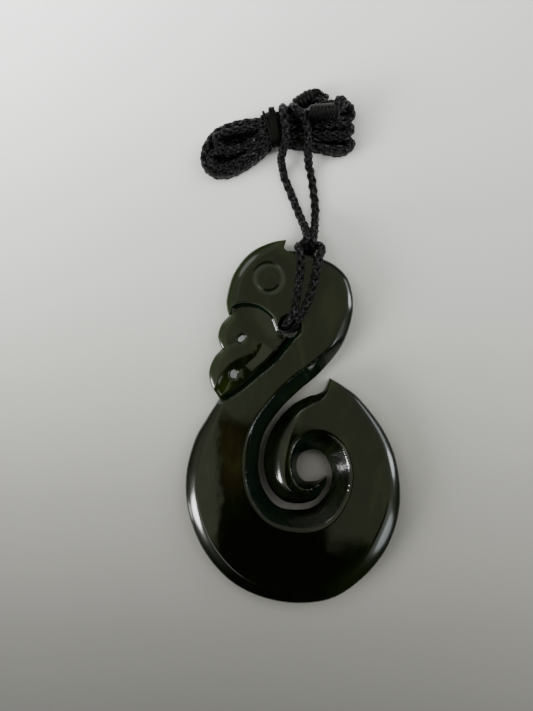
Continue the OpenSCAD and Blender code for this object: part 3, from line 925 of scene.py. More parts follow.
class FinishTree(NodeTree):
    """A material's node tree with one Principled shader."""

    def __init__(self, name: str) -> None:
        """Starts the material with its shader and object coordinates.

        Args:
            name: the material's name.
        """
        self.material = bpy.data.materials.new(name)
        self.material.use_nodes = True
        super().__init__(self.material.node_tree, "Object")
        self.shader = self.nodes["Principled BSDF"]

    def noise(self, scale: float, detail: float = 3, distortion: float = 0, stretch: Triple = (1, 1, 1),
              turn: float = 0) -> Socket:
        """Adds a noise pattern on the object's own coordinates.

        Args:
            scale: cells per metre.
            detail: octaves.
            distortion: how far the pattern winds.
            stretch: factors on the three axes.
            turn: turn of the pattern about the vertical, in degrees.

        Returns:
            The pattern's value.
        """
        place = self.add("Mapping", {"Vector": self.coords, "Scale": stretch,
                                     "Rotation": (0, 0, math.radians(turn))}).outputs["Vector"]
        return self.add("TexNoise", {"Vector": place, "Scale": scale, "Detail": detail,
                                     "Distortion": distortion}).outputs["Fac"]

    def ramp(self, value: Socket, *stops: tuple[float, Triple | float]) -> Socket:
        """Turns a value into a colour.

        Args:
            value: what drives the colour.
            *stops: places from 0 to 1 with their colours or grey tones.

        Returns:
            The colour.
        """
        node = self.add("ValToRGB", {"Fac": value})
        while len(node.color_ramp.elements) < len(stops):
            node.color_ramp.elements.new(0.5)
        for element, (place, tone) in zip(node.color_ramp.elements, stops):
            element.position = place
            element.color = (*tone, 1) if isinstance(tone, tuple) else (tone, tone, tone, 1)
        return node.outputs["Color"]

    def attribute(self, name: str) -> Socket:
        """A value stored on the piece's points."""
        return self.add("Attribute", {}, attribute_name=name).outputs["Fac"]

    def bump(self, height: Socket, strength: float, distance: float, under: Socket | None = None) -> Socket:
        """Adds relief to the surface.

        Args:
            height: the relief's pattern.
            strength: how much of it shows.
            distance: its depth in metres.
            under: the normal of a coarser relief.

        Returns:
            The new normal.
        """
        values: dict[str | int, Value] = {"Height": height, "Strength": strength, "Distance": distance}
        if under is not None:
            values["Normal"] = under
        return self.add("Bump", values).outputs["Normal"]

    def dressed(self, tone: Socket, roughness: Value, normal: Socket) -> bpy.types.Material:
        """Gives the shader its colour, roughness and relief.

        Args:
            tone: the colour.
            roughness: the roughness, as one number or a pattern.
            normal: the relief.

        Returns:
            The finished material.
        """
        self.links.new(tone, self.shader.inputs["Base Color"])
        if isinstance(roughness, Socket):
            self.links.new(roughness, self.shader.inputs["Roughness"])
        else:
            self.shader.inputs["Roughness"].default_value = roughness
        self.links.new(normal, self.shader.inputs["Normal"])
        return self.material


@dataclass(frozen=True)
class NephriteFinish:
    """Dark green nephrite under a high polish."""

    deep: Triple = (0.0007, 0.0011, 0.0003)
    body: Triple = (0.0030, 0.0046, 0.0010)
    fleck: Triple = (0.0085, 0.0125, 0.0030)
    # Painted glow: green painted where light would shine through thin stone.
    painted_glow_tone: Triple = (0.024, 0.044, 0.003)
    # Painted green glow on banks towards +X, in the cleft and in the step's cove.
    bank: Triple = (0.0028, 0.0090, 0.0053)
    # Pale painted highlight along the step's crest and in the eye ring's groove.
    worn: Triple = (0.075, 0.085, 0.07)
    fibre: Triple = (1.25, 1.25, 1.2)
    refraction: float = 1.61

    def make(self) -> bpy.types.Material:
        """Builds the material.

        Returns:
            The material, with one Principled shader.
        """
        tree = FinishTree("nephrite")
        clouds = tree.noise(190, 5, 1.2, (1, 0.6, 1), 25)
        fibres = tree.noise(420, 5, 1.4, (1, 0.35, 1), 35)
        base = tree.ramp(clouds, (0.3, self.deep), (0.52, self.body), (0.75, self.fleck))
        base = tree.mix(0.7, base, tree.ramp(fibres, (0.35, 0.75), (0.7, self.fibre)), "MULTIPLY")
        # Painted shade: towards the middle of the body the colour is painted with the darkest tone.
        base = tree.mix(tree.spread(tree.attribute("pale"), 0.9, 0.0), base, self.deep)
        # Painted light: a green glow on banks, a glow through thin stone and a pale highlight along the step's
        # crest and the eye ring.
        for share, tone in (("green", self.bank), ("painted_glow", self.painted_glow_tone), ("crest", self.worn)):
            base = tree.mix(tree.attribute(share), base, tone)
        polish = tree.spread(tree.noise(260, 4), 0.0, 0.045, 0.3, 0.75)
        rough = tree.total(polish, tree.spread(tree.attribute("bevel"), 0.0, 0.13))
        tree.shader.inputs["IOR"].default_value = self.refraction
        waves = tree.bump(tree.noise(130, 2), 0.1, 0.00012)
        tooled = tree.bump(tree.product(tree.noise(420, 2, 0.6), tree.attribute("bank")), 1.0, 0.00007, waves)
        return tree.dressed(base, rough, tree.bump(tree.noise(2600, 3), 0.05, 0.00001, tooled))


@dataclass(frozen=True)
class WaxedBraidFinish:
    """Black waxed polyester yarn."""

    name: str = "waxed_braid"
    dark: Triple = (0.0010, 0.0010, 0.0015)
    worn: Triple = (0.0095, 0.0095, 0.0127)
    # Colour of the painted glints on the fibres.
    painted_glint: Triple = (0.16, 0.16, 0.19)
    wax: float = 0.28

    def make(self) -> bpy.types.Material:
        """Builds the material.

        Returns:
            The material, with one Principled shader.
        """
        tree = FinishTree(self.name)
        worn = tree.ramp(tree.noise(1300, 4, 0.4), (0.36, self.dark), (0.7, self.worn))
        # Painted glints: light flecks painted into the colour where the fibres catch the light.
        painted_glints = tree.ramp(tree.noise(2600, 3, 0.5), (0.58, 0), (0.7, 1))
        tree.shader.inputs["Specular IOR Level"].default_value = self.wax
        return tree.dressed(tree.mix(painted_glints, worn, self.painted_glint),
                            tree.spread(tree.noise(2500, 2), 0.25, 0.6, 0.3, 0.7),
                            tree.bump(tree.noise(5200, 3), 0.7, 0.00012))


@dataclass(frozen=True)
class RubberFinish:
    """Flat black elastic."""

    dark: Triple = (0.0030, 0.0030, 0.0032)
    light: Triple = (0.0090, 0.0088, 0.0095)
    shine: float = 0.2

    def make(self) -> bpy.types.Material:
        """Builds the material.

        Returns:
            The material, with one Principled shader.
        """
        tree = FinishTree("black_elastic")
        tree.shader.inputs["Specular IOR Level"].default_value = self.shine
        return tree.dressed(tree.ramp(tree.noise(500, 4, 0.2), (0.3, self.dark), (0.75, self.light)),
                            tree.spread(tree.noise(1500, 2), 0.28, 0.45),
                            tree.bump(tree.noise(4000, 3), 0.4, 0.00004))


@dataclass(frozen=True)
class CardFinish:
    """The pale card that the pendant lies on, in metres, with the light's fall-off and the stone's shadow
    painted into its tone.
    """

    # Painted light: the card is painted darker towards the bottom, lighter to the left (most towards the top)
    # and a little lighter at the far sides, for the light's fall-off.
    painted_falloff_tones: Sequence[tuple[float, Triple]] = (
        (0.0, (0.067, 0.066, 0.061)), (0.142, (0.102, 0.100, 0.092)), (0.324, (0.181, 0.178, 0.164)),
        (0.415, (0.244, 0.241, 0.225)), (0.507, (0.312, 0.310, 0.295)), (0.69, (0.457, 0.457, 0.447)),
        (0.871, (0.650, 0.655, 0.652)), (1.0, (0.785, 0.792, 0.792)))
    tone_ends: Pair = (-0.065, 0.09)
    painted_side_light: Pair = (1.36, 69.6)
    sides: Triple = (1.6, 1.0, 0.62)
    edge_square: float = 0.0028
    painted_edge_light: float = 1.1
    # Painted shadow on the card under the stone's spiral.
    shaded: Triple = (0.0015, -0.0095, 0.0)
    shaded_reach: Pair = (0.0118, 0.0185)
    shaded_tone: Triple = (0.31, 0.30, 0.27)
    roughness: float = 0.6

    def make(self) -> bpy.types.Material:
        """Builds the material.

        Returns:
            The material, with one Principled shader.
        """
        tree = FinishTree("pale_card")
        x, y, _ = tree.parts(tree.coords)
        start, rate = self.painted_side_light
        painted_side_light = tree.product(x, tree.spread(y, start - rate, start + rate, -1, 1))
        away = tree.add("VectorMath", {0: tree.coords, 1: self.shaded}, operation="DISTANCE").outputs["Value"]
        tone = tree.ramp(tree.spread(y, 0, 1, *self.tone_ends), *self.painted_falloff_tones)
        for share in (tree.ramp(tree.noise(14, 4), (0.3, 0.97), (0.7, 1.0)),
                      tree.ramp(tree.spread(painted_side_light, 0, 1, -0.5, 0.5), *zip((0.0, 0.5, 1.0), self.sides)),
                      tree.ramp(tree.spread(tree.product(x, x), 0, 1, 0, self.edge_square), (0.0, 1.0),
                                (1.0, self.painted_edge_light)),
                      tree.ramp(tree.spread(away, 0, 1, *self.shaded_reach), (0.0, self.shaded_tone),
                                (1.0, 1.0))):
            tone = tree.mix(1.0, tone, share, "MULTIPLY")
        return tree.dressed(tone, self.roughness, tree.bump(tree.noise(3000, 3), 0.08, 0.00004))


@dataclass
class RoundBraid:
    """A round braid with as many strands winding one way as the other, in millimetres."""

    orbit: float = 0.5
    strand: float = 0.68
    pitch: float = 6.0
    weave: float = 0.12
    pairs: int = 3
    step: float = 0.34

    def strands(self, path: np.ndarray) -> list[np.ndarray]:
        """Winds the strands round a path.

        Args:
            path: the middle of the cord.

        Returns:
            The middle line of each strand.
        """
        path = even_points(path, self.step)
        side, up = path_frames(path)
        turn = 2 * math.pi * np.arange(len(path)) * self.step / self.pitch
        out = []
        for way in (1, -1):
            radius = self.orbit + way * self.weave * np.cos(self.pairs * turn)
            for k in range(self.pairs):
                angle = way * turn + 2 * math.pi * k / self.pairs
                spoke = np.cos(angle)[:, None] * side + np.sin(angle)[:, None] * up
                out.append(path + radius[:, None] * spoke)
        return out


@dataclass
class CordRoute:
    """Where the neck cord runs, in millimetres."""

    over_stone: Rows = (
        (-2.0, 62.5, 1.5), (-2.0, 62.5, 3.4), (-2.0, 62.4, 5.2), (-1.9, 61.7, 6.6), (-1.7, 60.2, 6.9),
        (-1.3, 57.4, 6.9), (-1.5, 55.5, 6.9), (-1.9, 54.0, 5.9), (-2.3, 52.4, 3.6), (-2.0, 50.8, 1.8),
        (-1.6, 49.0, 1.0), (-0.6, 46.6, 0.9), (0.8, 43.0, 0.92), (1.9, 40.2, 2.0), (2.6, 38.2, 4.3),
        (2.75, 37.0, 5.8), (2.7, 35.9, 6.3), (2.6, 34.9, 5.8), (2.5, 34.4, 4.7), (2.4, 34.4, 3.2),
        (2.35, 34.3, 1.8), (2.2, 33.7, 1.0), (1.8, 32.2, 0.88), (0.6, 26.4, 0.88), (-0.6, 21.6, 0.88),
        (-1.25, 19.75, 1.0), (-1.47, 19.1, 1.9), (-1.5, 18.95, 3.2), (-1.5, 18.95, 5.6), (-1.44, 19.15, 7.0),
        (-1.0, 19.8, 7.9), (-0.3, 20.9, 8.1), (0.25, 22.2, 8.05), (0.8, 25.2, 8.05), (1.2, 28.4, 8.05),
        (1.5, 31.0, 8.1), (1.35, 32.8, 8.05), (1.15, 33.9, 7.7), (1.1, 34.6, 6.6), (1.3, 34.9, 5.2),
        (2.0, 35.4, 4.2), (3.25, 35.8, 3.8), (4.6, 35.4, 4.2), (5.4, 34.8, 5.2), (5.65, 34.4, 6.6),
        (5.6, 33.6, 7.6), (5.25, 32.6, 8.0), (4.8, 31.0, 8.05),
        (4.3, 28.4, 8.05), (3.55, 25.4, 8.05), (2.5, 22.8, 8.05), (1.6, 21.3, 8.1), (0.95, 20.2, 8.05),
        (0.4, 19.2, 7.0), (0.2, 18.65, 5.6), (0.15, 18.65, 3.2), (0.2, 18.9, 1.9), (0.45, 19.75, 1.0),
        (1.1, 21.6, 0.88), (2.3, 26.4, 0.88), (3.5, 32.2, 0.88), (3.9, 33.7, 1.0), (4.05, 34.3, 1.8),
        (4.1, 34.4, 3.2), (4.1, 34.4, 4.7), (4.1, 34.9, 5.8), (4.05, 35.9, 6.3), (4.1, 37.0, 5.8),
        (4.35, 38.2, 4.3), (4.5, 40.2, 2.0), (4.6, 43.0, 0.92), (4.2, 46.6, 0.9), (3.8, 49.4, 1.0),
        (3.3, 51.2, 2.0), (3.1, 52.6, 4.0), (3.0, 53.9, 6.0), (2.9, 55.6, 6.9), (2.7, 58.4, 6.9),
        (1.9, 60.6, 6.9), (0.6, 61.9, 6.5), (-0.1, 62.5, 5.2), (-0.2, 62.6, 3.4), (-0.2, 62.6, 1.5))
    waist: Pair = WAIST
    waist_turn: float = 9
    outer_turn: Rows = ((-6.2, 59.9), (-9.4, 59.6), (-12.4, 58.9), (-15.0, 57.7), (-16.8, 55.6), (-17.6, 53.4),
                        (-17.4, 51.3), (-16.0, 49.9), (-14.2, 49.5), (-12.0, 50.0), (-9.4, 51.4), (-7.0, 53.1))
    middle_turn: Rows = ((-6.2, 58.9), (-9.4, 58.3), (-12.2, 57.7), (-14.5, 56.5), (-15.8, 54.9),
                         (-16.1, 53.2), (-15.6, 51.8), (-14.2, 51.1), (-12.4, 51.4), (-10.0, 52.6),
                         (-7.6, 54.2))
    deep_turn: Rows = ((-6.6, 57.6), (-9.4, 57.0), (-12.4, 56.3), (-14.3, 55.2), (-14.9, 54.0), (-14.5, 52.9),
                       (-13.2, 52.6), (-10.6, 53.3), (-8.2, 54.8), (-6.4, 56.2))
    upper_turn: Rows = ((-6.4, 59.0), (-9.6, 58.3), (-12.8, 57.7), (-14.9, 56.9), (-15.3, 55.6), (-14.3, 54.6),
                        (-12.4, 54.1), (-9.6, 54.5), (-7.4, 55.9))
    lower_turn: Rows = ((-6.4, 57.0), (-8.2, 55.8), (-10.4, 54.3), (-12.8, 53.7), (-15.1, 53.7), (-16.4, 52.9),
                        (-16.4, 51.7), (-15.2, 50.8), (-13.2, 50.7), (-10.6, 51.9), (-7.8, 54.0))
    low_fold: Rows = ((-0.5, 55.6), (2.3, 55.2), (5.3, 54.8), (7.9, 54.3), (9.9, 54.0), (11.3, 54.6),
                      (11.7, 55.6), (10.9, 56.4), (8.9, 56.6), (6.3, 56.5), (3.3, 56.5), (0.3, 56.7))
    mid_fold: Rows = ((-0.5, 57.0), (3.3, 57.2), (6.3, 57.2), (9.3, 57.2), (10.9, 57.4), (11.6, 58.2),
                      (11.1, 59.0), (9.3, 59.1), (6.3, 58.9), (3.3, 58.8), (-0.1, 58.6))
    high_fold: Rows = ((-0.5, 60.0), (3.3, 60.2), (7.3, 60.1), (10.3, 60.1), (11.6, 60.8), (11.7, 61.9),
                       (10.7, 62.6), (7.7, 62.5), (4.5, 62.2), (1.3, 61.3), (-1.1, 60.8))
    waist_run: Pair = (1.2, -1.0)
    fold_slide: Pair = (2, 8)
    spacing: float = 0.33

    def slot(self, across: float, z: float, along: float = 0.0) -> Triple:
        """A place in the bundle's waist.

        Args:
            across: distance from the waist's middle towards the bundle's upper edge.
            z: height.
            along: distance from the band's middle towards the right.

        Returns:
            The place.
        """
        c, s = math.cos(math.radians(self.waist_turn)), math.sin(math.radians(self.waist_turn))
        return (self.waist[0] + c * along - s * across, self.waist[1] + s * along + c * across, z)

    def turn(self, rows: Rows, z: float, start: Pair, end: Pair, backwards: bool = False,
             rise: float = 0.0) -> list[Triple]:
        """One turn of cord through the left of the bundle, from waist to waist.

        Args:
            rows: the turn in plan.
            z: its height.
            start: across and height of the place in the waist where the table starts.
            end: the same where the table ends.
            backwards: whether the cord runs against the table.
            rise: how much higher the middle of the turn lies.

        Returns:
            The points.
        """
        lift = [rise * math.sin(math.pi * i / (len(rows) - 1)) for i in range(len(rows))]
        middle = [(x, y, z + h) for (x, y), h in zip(rows, lift)]
        first, last = self.waist_run
        points = [self.slot(*start, first), self.slot(*start, last), *middle, self.slot(*end, last),
                  self.slot(*end, first)]
        return points[::-1] if backwards else points

    def fold(self, rows: Rows, z: Sequence[float], shift: float = 0.0) -> list[Triple]:
        """One fold of cord at the right of the bundle.

        Args:
            rows: the fold in plan.
            z: heights at its start, middle and end.
            shift: how far the fold's end lies from the table's.

        Returns:
            The points.
        """
        start, over = self.fold_slide
        heights = np.interp(np.linspace(0, 1, len(rows)), [0, 0.25, 0.75, 1], [z[0], z[1], z[1], z[2]])
        return [(x + shift * min(1.0, max(0.0, (x - start) / over)), y, float(h))
                for (x, y), h in zip(rows, heights)]

    def whole(self) -> np.ndarray:
        """The cord from knot to knot.

        Returns:
            Its points, evenly apart.
        """
        before = [
            (4.5, 65.2, 1.45), (2.9, 64.65, 1.45), (1.3, 64.0, 1.45), (0.2, 63.2, 1.1), (-0.8, 62.0, 0.95),
            *self.turn(self.outer_turn, 0.92, (2.7, 1.45), (-2.7, 1.45)),
            *self.fold(self.low_fold, (1.0, 0.92, 1.0), -0.4),
            *self.turn(self.middle_turn, 0.92, (1.65, 1.45), (-1.6, 1.45), backwards=True),
            *self.fold(self.high_fold, (1.1, 0.95, 2.2), -0.3),
            *self.turn(self.outer_turn, 2.4, (2.3, 3.0), (-2.3, 3.0)),
            *self.fold(self.mid_fold, (2.3, 1.6, 1.2), -0.2),
            *self.turn(self.deep_turn, 0.95, (0.5, 1.4), (-0.55, 1.45)),
            *self.fold(self.low_fold, (2.4, 2.45, 2.6), -0.1),
            *self.turn(self.middle_turn, 2.6, (1.0, 3.0), (-1.0, 3.0), backwards=True, rise=0.3),
            (-2.4, 59.4, 3.0), (-1.8, 60.3, 2.4), (-1.8, 61.6, 1.6),
        ]
        after = [
            (-0.5, 61.6, 2.2), (-1.4, 61.0, 3.6),
            *self.turn(self.outer_turn, 3.9, (2.6, 4.5), (-2.6, 4.5)),
            *self.fold(self.low_fold, (4.3, 4.0, 4.3)),
            *self.turn(self.lower_turn, 4.3, (-0.5, 4.55), (-1.6, 4.6), backwards=True, rise=0.3),
            *self.fold(self.mid_fold, (4.6, 4.4, 4.6)),
            *self.turn(self.upper_turn, 4.4, (1.6, 4.6), (0.5, 4.6), backwards=True, rise=0.4),
            (-1.1, 60.3, 4.8), (2.3, 60.2, 5.0), (6.3, 59.9, 4.9), (9.7, 59.8, 4.5), (11.2, 60.3, 4.2),
            (11.8, 61.3, 4.0), (11.5, 62.5, 4.2), (10.5, 63.1, 5.4), (9.9, 62.6, 6.9), (9.0, 61.7, 7.45),
            (6.3, 61.25, 7.45), (3.6, 61.2, 7.45),
        ]
        rows = before + list(self.over_stone) + after
        return even_points(smooth_rows(rows, 12), self.spacing)


@dataclass
class NeckCord:
    """The whole neck cord, with the turns of its bundle."""

    route: CordRoute = field(default_factory=CordRoute)
    braid: RoundBraid = field(default_factory=RoundBraid)
    diameter: float = 1.6

    def build(self, material: bpy.types.Material) -> bpy.types.Object:
        """Braids the cord along its route.

        Args:
            material: the cord's finish.

        Returns:
            The finished piece.
        """
        mesh = tubes("braided_cord", self.braid.strands(self.route.whole()), self.braid.strand / 2)
        return piece_of("braided_cord", mesh, material, Slot.CORD, Part.CORD, Part.BUNDLE)

    def declare(self) -> None:
        path = self.route.whole()


@dataclass
class SlidingKnot:
    """Turns of cord wound round a strand, in millimetres."""

    name: str
    part: Part
    start: Triple
    end: Triple
    tails: Sequence[Rows]
    turns: float = 5
    core: float = 1.1
    wrap: float = 0.58
    taper: float = 0.4
    unevenness: Triple = (0.07, 9.0, 0.7)
    steps: int = 28
    end_braid: RoundBraid = field(default_factory=lambda: RoundBraid(orbit=0.46, strand=0.7))

    def winding(self) -> np.ndarray:
        """The middle line of the wound cord.

        Returns:
            Its points.
        """
        a, b = np.array(self.start, float), np.array(self.end, float)
        axis = (b - a) / np.linalg.norm(b - a)
        side = np.cross(axis, [0, 0, 1.0])
        side /= np.linalg.norm(side)
        up = np.cross(side, axis)
        t = np.linspace(0, 1, int(self.turns * self.steps) + 1)
        angle = 2 * math.pi * self.turns * t
        much, often, start = self.unevenness
        swell = self.core - self.taper * np.abs(2 * t - 1) ** 3 + much * np.sin(often * t + start)
        spoke = np.cos(angle)[:, None] * side + np.sin(angle)[:, None] * up
        return a + t[:, None] * (b - a) + swell[:, None] * spoke

    def build(self, material: bpy.types.Material, end_material: bpy.types.Material) -> list[bpy.types.Object]:
        """Winds the knot and lays its ends.

        Args:
            material: the wraps' finish.
            end_material: the finish of the cord's ends.

        Returns:
            The finished pieces.
        """
        mesh = tubes(self.name, [self.winding()], self.wrap, 2)
        pieces = [piece_of(self.name, mesh, material, Slot.CORD, self.part)]
        for i, rows in enumerate(self.tails):
            strands = self.end_braid.strands(smooth_rows(rows, 10))
            mesh = tubes(f"{self.name}_end_{i}", strands, self.end_braid.strand / 2)
            pieces.append(piece_of(f"{self.name}_end_{i}", mesh, end_material, Slot.CORD))
        return pieces


@dataclass
class ElasticBand:
    """The elastic band's wraps round the bundle's waist, in millimetres."""

    at: Pair = WAIST
    core: Pair = (6.5, 4.6)
    corner: float = 1.6
    thickness: float = 0.5
    middle_z: float = 3.05
    wraps: Rows = ((-0.75, 15, 0.5, 0.5), (-0.2, 13, 0.4, 0.0), (0.6, 11, 1.2, 0.9), (1.1, 9, 0.4, 0.1))
    wave: Triple = (0.05, 3, 3)
    peak_start: float = 0.75
    round_over: float = 0.15

    def loop(self, shift: float, turn: float, peak: float, lift: float) -> np.ndarray:
        """One wrap's middle line.

        Args:
            shift: its place along the bundle.
            turn: its turn about the vertical in degrees.
            peak: how far it stands off the bundle's upper edge.
            lift: how far it lies off the bundle.

        Returns:
            The line's points.
        """
        r = self.corner + lift
        half = np.array(self.core) / 2 + lift
        points = []
        for quarter, (sx, sy) in enumerate(((1, 1), (-1, 1), (-1, -1), (1, -1))):
            for k in range(9):
                a = math.radians(90 * quarter + 90 * k / 8)
                points.append((sx * (half[0] - r) + r * math.cos(a), sy * (half[1] - r) + r * math.sin(a)))
        flat = even_points(np.array(points + points[:1]), 0.3)[:-1]
        flat[:, 0] += peak * ease((flat[:, 0] - self.peak_start * half[0]) / ((1 - self.peak_start) * half[0]))
        c, s = math.cos(math.radians(turn)), math.sin(math.radians(turn))
        much, often, offset = self.wave
        x = shift + much * np.sin(np.linspace(0, often * 2 * math.pi, len(flat)) + offset * shift)
        return np.stack([self.at[0] + c * x - s * flat[:, 0], self.at[1] + s * x + c * flat[:, 0],
                         self.middle_z + flat[:, 1]], axis=1)

    def build(self, material: bpy.types.Material) -> bpy.types.Object:
        """Lays the wraps.

        Args:
            material: the band's finish.

        Returns:
            The finished piece.
        """
        whole = bmesh.new()
        for shift, turn, width, peak in self.wraps:
            section = self.section(width)
            line = self.loop(shift, turn, peak, self.thickness / 2)
            mesh = tubes("elastic_wrap", [line], 0, closed=True, section=section)
            whole.from_mesh(mesh)
            bpy.data.meshes.remove(mesh)
            profile = section.data
            bpy.data.objects.remove(section)
            bpy.data.curves.remove(profile)
        mesh = bpy.data.meshes.new("elastic_band")
        whole.to_mesh(mesh)
        whole.free()
        return piece_of("elastic_band", mesh, material, Slot.RUBBER, Part.BAND)

    def section(self, width: float) -> bpy.types.Object:
        """The rounded section of one wrap.

        Args:
            width: the wrap's width.

        Returns:
            A flat closed curve, in metres.
        """
        bm = bmesh.new()
        bmesh.ops.create_grid(bm, x_segments=1, y_segments=1, size=0.5)
        bmesh.ops.scale(bm, vec=(self.thickness, width, 1), verts=bm.verts)
        bmesh.ops.bevel(bm, geom=bm.verts[:], offset=self.round_over, offset_type="OFFSET", segments=3,
                        profile=0.5, affect="VERTICES", material=-1)
        outline = [v.co.copy() for v in bm.faces[:][0].verts]
        bm.free()
        profile = bpy.data.curves.new("band_section", "CURVE")
        profile.dimensions = "2D"
        spline = profile.splines.new("POLY")
        spline.points.add(len(outline) - 1)
        spline.points.foreach_set("co", [c for p in outline for c in (p.x * MM, p.y * MM, 0, 1)])
        spline.use_cyclic_u = True
        section = bpy.data.objects.new("band_section", profile)
        bpy.context.scene.collection.objects.link(section)
        return section


Zone = Sequence[tuple[str, float, float]]


@dataclass(frozen=True)
class Room:
    """What the polished stone mirrors: a pale ceiling with dark parts, and dimmer walls.

    Each part is a zone: the measures that bound it, and from where to where each of them fades in. The
    measures x and y are slopes from the vertical, slant is y turned a little, height is that of the
    direction and across its bearing towards the far side.
    """

    ceiling: Triple = (0.385, 0.42, 0.28)
    bright_ceiling: Triple = (0.60, 0.65, 0.45)
    near_wall: Triple = (0.012, 0.012, 0.010)
    far_wall: Triple = (0.42, 0.45, 0.35)
    low_wall: Triple = (0.035, 0.04, 0.035)
    square: Triple = (0.022, 0.026, 0.014)
    brown: Triple = (0.165, 0.092, 0.045)
    ragged: Pair = (0.006, 0.016)
    grain: float = 42
    slant: float = 0.215
    least_height: float = 0.05
    tall: Zone = (("x", -0.0418, -0.0388), ("x", 0.058, 0.048), ("slant", -0.052, -0.065))
    wide: Zone = (("x", -0.09, -0.055), ("x", 0.125, 0.095), ("y", -0.148, -0.166))
    corner: Zone = (("x", 0.13, 0.17), ("x", 0.5, 0.42), ("y", -0.13, -0.17), ("y", -0.5, -0.42))
    near: Zone = (("across", -0.5, -0.85),)
    low: Zone = (*near, ("x", -0.25, -0.15), ("y", -0.185, -0.21))
    patch: Zone = (("x", -0.0395, -0.037), ("x", -0.014, -0.022), ("slant", -0.052, -0.070),
                   ("y", -0.125, -0.1))
    far_rise: Zone = (("height", 0.14, 0.55),)
    bright_side: Zone = (("x", -0.01, -0.055),)
    above: Zone = (("height", 0.74, 0.95),)

    def measures(self, tree: NodeTree) -> dict[str, Socket]:
        """What the zones are bounded by.

        Args:
            tree: the world's node tree.

        Returns:
            Each measure's value by its name.
        """
        x, y, height = tree.parts(tree.coords)
        up = tree.joined("MAXIMUM", height, self.least_height)
        noise = tree.add("TexNoise", {"Vector": tree.coords, "Scale": self.grain, "Detail": 4}).outputs["Fac"]
        ragged = tree.joined("SUBTRACT", noise, 0.5)
        x = tree.total(tree.joined("DIVIDE", x, up), tree.product(ragged, self.ragged[0]))
        y = tree.joined("SUBTRACT", tree.joined("DIVIDE", y, up), tree.product(ragged, self.ragged[1]))
        level = tree.add("VectorMath", {0: tree.coords, 1: (1, 1, 0)}, operation="MULTIPLY").outputs[0]
        bearing = tree.add("VectorMath", {0: level}, operation="NORMALIZE").outputs[0]
        return {"x": x, "y": y, "slant": tree.total(y, tree.product(x, self.slant)), "height": height,
                "across": tree.parts(bearing)[1]}

    def make(self) -> bpy.types.World:
        """Builds the world.

        Returns:
            The world.
        """
        world = bpy.data.worlds.new("room")
        world.use_nodes = True
        tree = NodeTree(world.node_tree, "Generated")
        measures = self.measures(tree)

        def share(zone: Zone) -> Socket:
            """Where all of a zone's measures have faded in."""
            fades = [tree.spread(measures[name], 0, 1, start, end, "SMOOTHSTEP") for name, start, end in zone]
            return reduce(tree.product, fades)

        dark = reduce(lambda a, b: tree.joined("MAXIMUM", a, b),
                      [share(zone) for zone in (self.tall, self.wide, self.low, self.corner)])
        walls = tree.mix(share(self.far_rise), self.low_wall, self.far_wall)
        walls = tree.mix(share(self.near), walls, self.near_wall)
        ceiling = tree.mix(share(self.bright_side), self.ceiling, self.bright_ceiling)
        tone = tree.mix(share(self.above), walls, ceiling)
        tone = tree.mix(dark, tone, self.square)
        tone = tree.mix(share(self.patch), tone, self.brown)
        tree.links.new(tone, tree.nodes["Background"].inputs["Color"])
        return world


